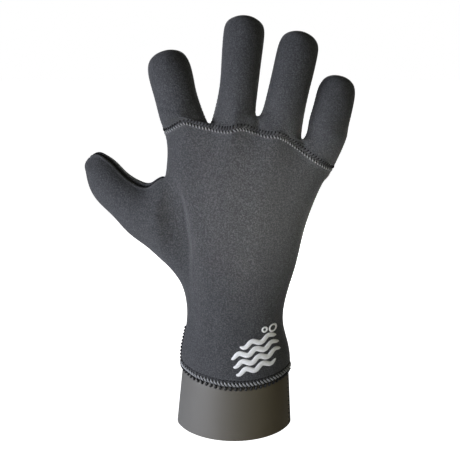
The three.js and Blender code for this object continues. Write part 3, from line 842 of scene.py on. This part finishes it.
cuff_piece = add_piece("smooth_cuff", cuff_mesh())
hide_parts("cuff")
print("cuff:", len(cuff_piece.data.polygons), "faces")

# %% [markdown]
# Stitches
#
# Sewing thread shows as rows of short slanted grains: dark teeth on one side of a seam, where the thread
# bites into the foam, and paler grey grains that cross it on the other, a painted highlight for the light
# that the threads catch. Dark grains between the grey ones, and a dark row in the fold above the cuff's
# band, are painted shade. They are too small for a model of each thread's path, and too large for bump.
# Each is a small grain whose ends dive into the neoprene. One function lays a row of them along a seam,
# on the surface that is really there, and joins them into one mesh. Tables give each row's pitch, length,
# thickness, slant and shift.

# %% The surface that thread lies on, and a seam as an even line over it
OUTSIDE = 0.2
PLACE_ROUNDS, NORMAL_ROUNDS = 2, 12
TANGENT_REACH = 1e-4


def surface_tree():
    points = np.vstack([skin["points"], tube["points"]])
    quads = np.vstack([skin["quads"], tube["quads"] + len(skin["points"])])
    return BVHTree.FromPolygons(points.tolist(), quads.tolist())


surface = surface_tree()


def smoothed(values, rounds, closed):
    for _ in range(rounds):
        if closed:
            values = (np.roll(values, 1, axis=0) + 2 * values + np.roll(values, -1, axis=0)) / 4
        else:
            middle = (values[:-2] + 2 * values[1:-1] + values[2:]) / 4
            values = np.vstack([values[:1], middle, values[-1:]])
    return values


def even_line(places, normals, spacing, closed, phase):
    places = smoothed(places, PLACE_ROUNDS, closed)
    normals = smoothed(normals, NORMAL_ROUNDS, closed)
    if closed:
        places, normals = np.vstack([places, places[:1]]), np.vstack([normals, normals[:1]])
    run = np.concatenate([[0], np.cumsum(np.linalg.norm(np.diff(places, axis=0), axis=1))])
    count = round(run[-1] / spacing)
    stations = (np.arange(count) + phase) * run[-1] / count

    def at(values, s):
        return np.stack([np.interp(s, run, values[:, k]) for k in range(3)], axis=1)

    after = np.minimum(stations + TANGENT_REACH, run[-1])
    before = np.maximum(stations - TANGENT_REACH, 0)
    tangents = at(places, after) - at(places, before)
    return at(places, stations), unit(tangents), unit(at(normals, stations))


def seam_line(path):
    closed = path[0] == path[-1]
    keys = path[:-1] if closed else path
    return skin["points"][keys], skin["normals"][keys], closed


def unit(vectors):
    return vectors / np.linalg.norm(vectors, axis=-1, keepdims=True)


def laid_on_surface(places):
    hits = [surface.find_nearest(place) for place in places.reshape(-1, 3)]
    return np.array([hit[0] for hit in hits]).reshape(places.shape)


# %% A row of stitches
GRAIN_STEPS, GRAIN_SIDES = 7, 6
GRAIN_HIGH, GRAIN_DIVE, GRAIN_TAPER = 0.75, 1.9, 0.85


def grains(name, centres, directions, normals, length, radius):
    t = np.linspace(-0.5, 0.5, GRAIN_STEPS)
    lines = centres[:, None] + length * t[None, :, None] * directions[:, None]
    lines = laid_on_surface(lines)
    lift = GRAIN_HIGH - GRAIN_DIVE * abs(2 * t) ** 3
    lines = lines + radius * lift[None, :, None] * normals[:, None]
    thick = radius * np.sqrt(np.clip(1 - (2 * t) ** 4 * GRAIN_TAPER, 0, 1))
    angles = 2 * math.pi * np.arange(GRAIN_SIDES) / GRAIN_SIDES
    sides = unit(np.cross(directions, normals))
    ring = np.cos(angles)[:, None, None] * normals + np.sin(angles)[:, None, None] * sides
    points = lines[:, :, None] + thick[None, :, None, None] * ring.transpose(1, 0, 2)[:, None]
    count = len(centres)
    block = GRAIN_STEPS * GRAIN_SIDES
    faces = []
    for row in range(GRAIN_STEPS - 1):
        for k in range(GRAIN_SIDES):
            after = (k + 1) % GRAIN_SIDES
            low, high = row * GRAIN_SIDES, (row + 1) * GRAIN_SIDES
            faces.append([low + k, low + after, high + after, high + k])
    caps = [list(range(GRAIN_SIDES))[::-1], list(range(block - GRAIN_SIDES, block))]
    mesh = bpy.data.meshes.new(name)
    every = [[corner + k * block for corner in face] for k in range(count) for face in faces + caps]
    mesh.from_pydata(points.reshape(-1, 3).tolist(), [], every)
    mesh.polygons.foreach_set("use_smooth", [True] * len(every))
    return mesh


def stitch_row(name, line, pitch, long, thick, slant, shift, phase=0.25):
    """A row of stitches: shift moves it to the left of the line's way, phase moves it along by pitches."""
    places, normals, closed = line
    places, tangents, normals = even_line(places, normals, pitch, closed, phase)
    sideways = np.cross(normals, tangents)
    lean = math.radians(slant)
    directions = math.cos(lean) * sideways + math.sin(lean) * tangents
    piece = add_piece(name, grains(name, places + shift * sideways, directions, normals, long, thick / 2))
    print(name, len(places), "stitches")
    return piece


def running(path, axis):
    """The path turned so that it runs towards higher values of the axis at the back of the hand."""
    places = skin["points"][path]
    at = int(np.argmin(places[:-1, 1]))
    return path if places[at + 1, axis] > places[at, axis] else path[::-1]


# %% The lines that are sewn
CUFF_SEAM_FORWARD = 0.006
WRIST_TEETH_TOP = 0.078


def cuff_side_line(count=40):
    """The cuff's own side seam, on the little finger's side and a little towards the back."""
    heights = np.linspace(0.0015, CUFF_HEIGHT + hem_lift(1) - 0.002, count)
    hits = [surface.ray_cast((OUTSIDE, -CUFF_SEAM_FORWARD, z), (-1, 0, 0)) for z in heights]
    return np.array([hit[0] for hit in hits]), np.array([hit[1] for hit in hits]), False


side_path = seams["side"] if skin["points"][seams["side"][0], 0] < 0 else seams["side"][::-1]
wrist_path = [k for k in side_path if skin["points"][k, 2] < WRIST_TEETH_TOP and skin["points"][k, 0] < 0]
SEWN_LINES = {
    "knuckle": seam_line(running(seams["knuckle"], 0)),
    "side": seam_line(side_path),
    "wrist_side": seam_line(wrist_path),
    "finger_root": seam_line(seams["finger_root"]),
    "thumb_root": seam_line(seams["thumb_root"]),
    "hem": seam_line(running(seams["hem"], 0)),
    "cuff_side": cuff_side_line(),
}

# %% Rows of dark thread and of painted shade, and of grey grains as a painted highlight on the thread
# The teeth are dark thread. The gap rows and the row along the top of the cuff's band are painted shade.
DARK_THREAD_AND_SHADE_ROWS = {
    "knuckle_teeth": dict(line="knuckle", pitch=0.0022, long=0.0033, thick=0.0011, slant=28, shift=0.0014),
    # Painted shade: dark grains between the pale grains on the same line.
    "knuckle_gap_shade": dict(
        line="knuckle", pitch=0.0022, long=0.0024, thick=0.0010, slant=-26, shift=-0.0010, phase=0.75),
    "side_teeth": dict(line="side", pitch=0.0026, long=0.0036, thick=0.0010, slant=28, shift=0),
    "wrist_side_teeth": dict(
        line="wrist_side", pitch=0.0026, long=0.0034, thick=0.0016, slant=28, shift=-0.0016),
    "finger_root_teeth": dict(line="finger_root", pitch=0.0026, long=0.0036, thick=0.0010, slant=28, shift=0),
    "thumb_root_teeth": dict(line="thumb_root", pitch=0.0026, long=0.0036, thick=0.0010, slant=28, shift=0),
    "cuff_teeth": dict(line="hem", pitch=0.0036, long=0.0034, thick=0.0018, slant=24, shift=-0.0016),
    # Painted shade: dark grains between the pale grains on the same line.
    "cuff_gap_shade": dict(
        line="hem", pitch=0.0026, long=0.0036, thick=0.0009, slant=-44, shift=0.0020, phase=0.75),
    # Painted shadow: a dark row in the fold above the cuff's band.
    "cuff_band_fold_shadow": dict(line="hem", pitch=0.0026, long=0.0026, thick=0.0007, slant=78, shift=0.0043),
    "cuff_side_teeth": dict(line="cuff_side", pitch=0.0034, long=0.0034, thick=0.0010, slant=25, shift=0),
}
# Painted highlight: pale grey grains that stand in for the light that the stitch threads catch.
PAINTED_HIGHLIGHT_ROWS = {
    "knuckle_thread_highlights": dict(
        line="knuckle", pitch=0.0022, long=0.0028, thick=0.0010, slant=-26, shift=-0.0010),
    "cuff_thread_highlights": dict(line="hem", pitch=0.0026, long=0.0044, thick=0.0014, slant=-44, shift=0.0020),
}


def sewn_rows(rows):
    pieces = []
    for name, row in rows.items():
        sizes = {key: value for key, value in row.items() if key != "line"}
        pieces.append(stitch_row(name, SEWN_LINES[row["line"]], **sizes))
    return pieces


dark_stitches_and_shade = sewn_rows(DARK_THREAD_AND_SHADE_ROWS)
painted_highlight_stitches = sewn_rows(PAINTED_HIGHLIGHT_ROWS)

# %% [markdown]
# The white print
#
# The wrist carries a raised white print. Here it is a plain mark of the sea: waves that rise to one side,
# and air bubbles. An image texture would be easier, but a printed film has an edge that catches light.
# Each wave is a thin closed ribbon laid over the skin.

# %% Waves and bubbles over the wrist
PRINT_CENTRE = (0.0150, 0.0640)
PRINT_RISE = math.radians(13)
PRINT_HEIGHT = 0.00035
PRINT_SINK = 0.0002
WAVE_SWING, WAVE_LENGTH, WAVE_STEPS = 0.0014, 0.0118, 61
BUBBLE_LINE, BUBBLE_STEPS = 0.0013, 28
WAVES = [
    dict(across=-0.0020, up=-0.0093, long=0.0290, wide=0.0036),
    dict(across=0.0, up=-0.0034, long=0.0345, wide=0.0037),
    dict(across=0.0, up=0.0027, long=0.0345, wide=0.0037),
    dict(across=0.0035, up=0.0086, long=0.0260, wide=0.0035),
]
BUBBLES = [
    dict(across=0.0155, up=0.0135, radius=0.0024),
    dict(across=0.0098, up=0.0150, radius=0.0016),
]


def over_wrist(u, v):
    x = PRINT_CENTRE[0] + u * math.cos(PRINT_RISE) - v * math.sin(PRINT_RISE)
    z = PRINT_CENTRE[1] + u * math.sin(PRINT_RISE) + v * math.cos(PRINT_RISE)
    place, normal, _, _ = surface.ray_cast((x, -OUTSIDE, z), (0, 1, 0))
    return np.array(place), np.array(normal)


def ribbon(name, line, widths, closed):
    """A closed film along a line of (u, v) points, with a width for each."""
    ahead = np.roll(line, -1, axis=0) - np.roll(line, 1, axis=0) if closed else np.gradient(line, axis=0)
    side = unit(np.stack([-ahead[:, 1], ahead[:, 0]], axis=1))
    shares = (-0.5, -0.36, 0.0, 0.36, 0.5)
    heights = (0.0, 0.85, 1.0, 0.85, 0.0)
    top, under = [], []
    for share, height in zip(shares, heights):
        for (u, v) in line + side * (widths * share)[:, None]:
            place, normal = over_wrist(u, v)
            top.append(place + normal * PRINT_HEIGHT * height)
            under.append(place - normal * PRINT_SINK)
    count, rows = len(line), len(shares)
    faces = []
    for row in range(rows - 1):
        for k in range(count if closed else count - 1):
            after = (k + 1) % count
            low, high = row * count, (row + 1) * count
            a, b, c, d = low + k, low + after, high + after, high + k
            faces += [[a, b, c, d], [corner + rows * count for corner in (d, c, b, a)]]
    directed = {(a, b) for face in faces for a, b in zip(face, face[1:] + face[:1])}
    shift = rows * count
    faces += [[b, a, a + shift, b + shift] for a, b in directed if (b, a) not in directed and a < shift]
    mesh = bpy.data.meshes.new(name)
    mesh.from_pydata([tuple(p) for p in top + under], [], faces)
    return mesh


def print_meshes():
    for k, wave in enumerate(WAVES):
        t = np.linspace(-0.5, 0.5, WAVE_STEPS)
        u = wave["across"] + wave["long"] * t
        v = wave["up"] + WAVE_SWING * np.sin(2 * math.pi * (u / WAVE_LENGTH) + 0.6 * k)
        widths = wave["wide"] * (0.12 + 0.88 * np.clip(1 - (2 * t) ** 4, 0, 1) ** 0.5)
        yield ribbon(f"wave_{k}", np.stack([u, v], axis=1), widths, closed=False)
    for k, bubble in enumerate(BUBBLES):
        angles = 2 * math.pi * np.arange(BUBBLE_STEPS) / BUBBLE_STEPS
        circle = bubble["radius"] * np.stack([np.cos(angles), np.sin(angles)], axis=1)
        line = circle + (bubble["across"], bubble["up"])
        yield ribbon(f"bubble_{k}", line, np.full(BUBBLE_STEPS, BUBBLE_LINE), closed=True)


def joined(name, meshes):
    points, faces = [], []
    for mesh in meshes:
        faces += [[corner + len(points) for corner in polygon.vertices] for polygon in mesh.polygons]
        points += [tuple(vertex.co) for vertex in mesh.vertices]
        bpy.data.meshes.remove(mesh)
    whole = bpy.data.meshes.new(name)
    whole.from_pydata(points, [], faces)
    whole.polygons.foreach_set("use_smooth", [True] * len(faces))
    whole.set_sharp_from_angle(angle=SHARP["print"])
    return whole


print_piece = add_piece("white_print", joined("white_print", print_meshes()))
print("print:", len(print_piece.data.polygons), "faces")

# %% [markdown]
# Finishes
#
# The knit is a charcoal jersey with paler flecks, and painted shade makes it a little lighter on its raised
# loops and darker between them. Two materials use it, so it is a node group. The loops are a fine cell
# pattern in three dimensions: a pattern laid on in two would smear where the fingers turn away.

# %% A shorter way to write node trees
def new_node(tree, kind, **settings):
    node = tree.nodes.new(kind)
    for key, value in settings.items():
        if hasattr(node, key) and key not in node.inputs:
            setattr(node, key, value)
        else:
            node.inputs[key].default_value = value
    return node


def feed(tree, socket, value):
    """Links a socket to another node's output, or sets it to a constant."""
    if isinstance(value, bpy.types.NodeSocket):
        tree.links.new(value, socket)
    else:
        socket.default_value = value


def calculated(tree, operation, first, second):
    node = new_node(tree, "ShaderNodeMath", operation=operation)
    feed(tree, node.inputs[0], first)
    feed(tree, node.inputs[1], second)
    return node.outputs[0]


def mixed(tree, factor, first, second, blend="MIX"):
    node = new_node(tree, "ShaderNodeMix", data_type="RGBA", blend_type=blend)
    for place, value in ((0, factor), (6, first), (7, second)):
        feed(tree, node.inputs[place], value)
    return node.outputs[2]


def remapped(tree, value, start, end, results=(0.0, 1.0), kind="LINEAR"):
    """The value's way from start to end, turned into the way between two results."""
    node = new_node(tree, "ShaderNodeMapRange", interpolation_type=kind)
    for label, number in zip(("From Min", "From Max", "To Min", "To Max"), (start, end, *results)):
        node.inputs[label].default_value = number
    tree.links.new(value, node.inputs["Value"])
    return node.outputs["Result"]


def group(name, inputs, outputs):
    tree = bpy.data.node_groups.new(name, "ShaderNodeTree")
    for label, kind, value in inputs:
        socket = tree.interface.new_socket(name=label, in_out="INPUT", socket_type=kind)
        socket.default_value = value
    for label, kind in outputs:
        tree.interface.new_socket(name=label, in_out="OUTPUT", socket_type=kind)
    return tree, tree.nodes.new("NodeGroupInput"), tree.nodes.new("NodeGroupOutput")


def rgb(red, green, blue):
    """A colour as it is named on a screen, 0 to 255, in the linear values that shaders use."""
    def linear(value):
        value /= 255
        return value / 12.92 if value <= 0.04045 else ((value + 0.055) / 1.055) ** 2.4
    return (linear(red), linear(green), linear(blue), 1.0)


# %% The knit, as a node group
FLECK_SCALE, FLECK_RANGE = 0.85, (0.42, 0.72)
LOOP_REACH, LOOP_SHADES = 0.75, (1.12, 0.72)


def knit_group():
    tree, given, result = group(
        "Knit",
        [("Yarn", "NodeSocketColor", (0.08, 0.08, 0.09, 1)), ("Fleck", "NodeSocketColor", (0.2, 0.2, 0.2, 1)),
         ("Loop Scale", "NodeSocketFloat", 1300.0), ("Fleck Amount", "NodeSocketFloat", 0.6)],
        [("Color", "NodeSocketColor"), ("Height", "NodeSocketFloat")],
    )
    place = new_node(tree, "ShaderNodeTexCoord")
    loops = new_node(tree, "ShaderNodeTexVoronoi", Randomness=0.55)
    flecks = new_node(tree, "ShaderNodeTexNoise", Detail=2.0, Roughness=0.6)
    fleck_scale = calculated(tree, "MULTIPLY", given.outputs["Loop Scale"], FLECK_SCALE)
    for pattern, scale in ((loops, given.outputs["Loop Scale"]), (flecks, fleck_scale)):
        tree.links.new(place.outputs["Object"], pattern.inputs["Vector"])
        tree.links.new(scale, pattern.inputs["Scale"])
    spread = remapped(tree, flecks.outputs["Fac"], *FLECK_RANGE)
    amount = calculated(tree, "MULTIPLY", spread, given.outputs["Fleck Amount"])
    colour = mixed(tree, amount, given.outputs["Yarn"], given.outputs["Fleck"])
    # Painted shade: each loop is paler at its raised middle and darker towards the gaps between loops.
    shade = remapped(tree, loops.outputs["Distance"], 0.0, LOOP_REACH, LOOP_SHADES)
    tree.links.new(mixed(tree, 1.0, colour, shade, "MULTIPLY"), result.inputs["Color"])
    height = calculated(tree, "SUBTRACT", 1.0, loops.outputs["Distance"])
    tree.links.new(height, result.inputs["Height"])
    return tree


KNIT = knit_group()
print("group:", KNIT.name)

# %% The seam's shade, as a node group: painted shadow in the valley and a painted highlight on the ridge
RIDGE_HIGHLIGHT_REACH, VALLEY_DARK, VALLEY_SINK = (0.0016, 0.0032), (0.0003, 0.0014), (0.0002, 0.0012)
RIDGE_HIGHLIGHT_COLOUR, VALLEY_SHADE = (0.09, 0.09, 0.092, 1), (0.08, 0.08, 0.09, 1)


def seam_group():
    tree, given, result = group(
        "Seam Shade",
        [("Color", "NodeSocketColor", (0.1, 0.1, 0.1, 1)), ("Height", "NodeSocketFloat", 0.0),
         ("Shade", "NodeSocketFloat", 0.8), ("Ridge Highlight", "NodeSocketFloat", 0.35)],
        [("Color", "NodeSocketColor"), ("Height", "NodeSocketFloat")],
    )
    near = new_node(tree, "ShaderNodeAttribute", attribute_name="seam")
    packed = new_node(tree, "ShaderNodeAttribute", attribute_name="seam_shade")
    shade = calculated(tree, "MULTIPLY", packed.outputs["Fac"], given.outputs["Shade"])

    def zone(distances, factor):
        """One at the first distance from the seam, none at the last, times a factor."""
        share = remapped(tree, near.outputs["Fac"], *distances, (1.0, 0.0), "SMOOTHSTEP")
        return calculated(tree, "MULTIPLY", share, factor)

    # Painted highlight: the colour is made paler on the ridge beside the seam. Painted shadow: it is darkened
    # in the valley, as strongly as the seam's shade asks.
    highlighted = mixed(tree, zone(RIDGE_HIGHLIGHT_REACH, given.outputs["Ridge Highlight"]), given.outputs["Color"], RIDGE_HIGHLIGHT_COLOUR, "ADD")
    dark = mixed(tree, zone(VALLEY_DARK, shade), highlighted, VALLEY_SHADE, "MULTIPLY")
    tree.links.new(dark, result.inputs["Color"])
    sunk = calculated(tree, "SUBTRACT", given.outputs["Height"], zone(VALLEY_SINK, shade))
    tree.links.new(sunk, result.inputs["Height"])
    return tree


SEAM_SHADE = seam_group()

# %% Materials
def material(name, roughness, **constants):
    made = bpy.data.materials.new(name)
    made.use_nodes = True
    shader = made.node_tree.nodes["Principled BSDF"]
    shader.inputs["Roughness"].default_value = roughness
    for key, value in constants.items():
        shader.inputs[key.replace("_", " ")].default_value = value
    return made, made.node_tree, shader


def bumped(tree, shader, height, distance, strength=1.0):
    bump = new_node(tree, "ShaderNodeBump", Strength=strength, Distance=distance)
    tree.links.new(height, bump.inputs["Height"])
    tree.links.new(bump.outputs["Normal"], shader.inputs["Normal"])


def knit_material(name, yarn, fleck, shade):
    made, tree, shader = material(name, 0.8, Sheen_Weight=0.14, Sheen_Roughness=0.5)
    knit = new_node(tree, "ShaderNodeGroup", node_tree=KNIT, Yarn=yarn, Fleck=fleck)
    seam = new_node(tree, "ShaderNodeGroup", node_tree=SEAM_SHADE, Shade=shade)
    for output in ("Color", "Height"):
        tree.links.new(knit.outputs[output], seam.inputs[output])
    tree.links.new(seam.outputs["Color"], shader.inputs["Base Color"])
    bumped(tree, shader, seam.outputs["Height"], 0.0003)
    return made


def grain_over(tree, scale, detail):
    place = new_node(tree, "ShaderNodeTexCoord")
    grain = new_node(tree, "ShaderNodeTexNoise", Scale=scale, Detail=detail)
    tree.links.new(place.outputs["Object"], grain.inputs["Vector"])
    return place.outputs["Object"], grain.outputs["Fac"]


def smooth_skin_material():
    made, tree, shader = material("smooth skin", 0.6)
    place, grain = grain_over(tree, 260.0, 3.0)
    apart = new_node(tree, "ShaderNodeSeparateXYZ")
    tree.links.new(place, apart.inputs["Vector"])
    # Painted light and shade: the cuff's colour runs from a lit grey on the left, where the key light stands,
    # to a darker warm brown on the right, towards the weak warm light.
    painted_shading_across_cuff = remapped(tree, apart.outputs["X"], -RIM_WIDTH / 2, RIM_WIDTH * 0.4)
    colour = mixed(tree, painted_shading_across_cuff, rgb(102, 101, 98), rgb(73, 63, 38))
    tree.links.new(colour, shader.inputs["Base Color"])
    bumped(tree, shader, grain, 0.0002, 0.25)
    return made


def plain_material(name, colour, roughness, scale, distance):
    made, tree, shader = material(name, roughness)
    grain = grain_over(tree, scale, 2.0)[1]
    darker = tuple(c * 0.8 for c in colour[:3]) + (1,)
    paler = tuple(min(1, c * 1.2) for c in colour[:3]) + (1,)
    tree.links.new(mixed(tree, grain, darker, paler), shader.inputs["Base Color"])
    bumped(tree, shader, grain, distance)
    return made


knit = knit_material("knit neoprene", rgb(46, 47, 50), rgb(105, 106, 108), 0.9)
lining = knit_material("knit lining", rgb(34, 34, 37), rgb(60, 60, 64), 0.0)
foam = plain_material("cut foam", rgb(38, 38, 40), 0.9, 1800.0, 0.0002)
smooth_skin = smooth_skin_material()
# Dark thread, also used for the rows of painted shade between and above the threads.
dark_thread_and_shade = plain_material("painted shade and black thread", rgb(7, 7, 9), 0.6, 3500.0, 0.0001)
# Painted highlight: the grey of the lit parts of the stitch threads.
painted_thread_highlight = plain_material("painted thread highlight", rgb(146, 147, 148), 0.6, 3500.0, 0.0001)
white_film = plain_material("white print", rgb(250, 250, 250), 0.5, 900.0, 0.00003)

for piece in panels.values():
    piece.data.materials.append(knit)
    piece.data.materials.append(lining)
for finish in (smooth_skin, lining, foam):
    cuff_piece.data.materials.append(finish)
for piece in dark_stitches_and_shade:
    piece.data.materials.append(dark_thread_and_shade)
for piece in painted_highlight_stitches:
    piece.data.materials.append(painted_thread_highlight)
print_piece.data.materials.append(white_film)
print("materials:", len(bpy.data.materials))

# %% [markdown]
# Floor, light and camera
#
# The glove stands upright in the air, so the pale floor lies well below it. A large cool light stands low
# on the left and a weak warm one on the right, so that the right side of each finger and of the wrist
# falls into shade. A narrow beam, as from a lamp behind a grid, lifts the back of the glove over its
# fingers. A soft light behind serves the palm side alone. Floor and background look white to the camera
# but give off little light: a white room would light the glove's edges from behind and flatten it.

# %% The floor
FLOOR_BELOW, FLOOR_SIZE = 0.22, 12
bpy.ops.mesh.primitive_plane_add(size=FLOOR_SIZE, location=(0, 0, -FLOOR_BELOW))
floor = bpy.context.object
floor.name = "floor"
floor_material, floor_tree, floor_shader = material("pale floor", 0.9)
floor_shader.inputs["Base Color"].default_value = (0.9, 0.9, 0.9, 1)
floor_shader.inputs["Emission Color"].default_value = (1, 1, 1, 1)
seen = new_node(floor_tree, "ShaderNodeLightPath")
floor_tree.links.new(seen.outputs["Is Camera Ray"], floor_shader.inputs["Emission Strength"])
floor.data.materials.append(floor_material)

# %% The lights
LOOK_AT = Vector((-0.003, 0, 0.147))
ROOM_GLOW, BACKDROP = 0.05, 1.0
LIGHTS = {
    "key": dict(place=(-1.05, -0.8, -0.02), size=0.9, power=27.5, colour=(0.87, 0.9, 1.0)),
    "fill": dict(place=(0.9, -0.9, 0.1), size=0.6, power=1.9, colour=(1.0, 0.98, 0.7)),
    "beam": dict(place=(0.03, -1.0, 0.17), size=0.06, power=0.026, colour=(1.0, 0.96, 0.86),
                 goal=(0.022, -0.03, 0.165), beam=10),
    "behind": dict(place=(0.25, 1.4, 0.3), size=0.9, power=9, colour=(1.0, 1.0, 1.0)),
}


def soft_light(name, place, size, power, colour, goal=LOOK_AT, beam=180):
    data = bpy.data.lights.new(name, "AREA")
    data.shape, data.size, data.energy, data.color = "DISK", size, power, colour
    data.spread = math.radians(beam)
    light = bpy.data.objects.new(name, data)
    light.location = place
    light.rotation_euler = (Vector(goal) - light.location).to_track_quat("-Z", "Y").to_euler()
    bpy.context.scene.collection.objects.link(light)


for name, light in LIGHTS.items():
    soft_light(name, **light)

world = bpy.data.worlds.new("studio")
bpy.context.scene.world = world
world.use_nodes = True
background = world.node_tree.nodes["Background"]
background.inputs["Color"].default_value = (1, 1, 1, 1)
ray = new_node(world.node_tree, "ShaderNodeLightPath")
glow = remapped(world.node_tree, ray.outputs["Is Camera Ray"], 0.0, 1.0, (ROOM_GLOW, BACKDROP))
world.node_tree.links.new(glow, background.inputs["Strength"])
bpy.context.scene.view_settings.view_transform = "Standard"

# %% The camera
CAMERA_DISTANCE, CAMERA_RISE = 0.56, math.radians(15)
FRAME_PIXELS, FOCAL_PIXELS, SENSOR = 460, 800, 36.0
lens = bpy.data.cameras.new("camera")
lens.sensor_width, lens.lens = SENSOR, SENSOR * FOCAL_PIXELS / FRAME_PIXELS
camera = bpy.data.objects.new("camera", lens)
camera.location = LOOK_AT + CAMERA_DISTANCE * Vector((0, -math.cos(CAMERA_RISE), math.sin(CAMERA_RISE)))
camera.rotation_euler = (math.pi / 2 - CAMERA_RISE, 0, 0)
bpy.context.scene.collection.objects.link(camera)
bpy.context.scene.camera = camera
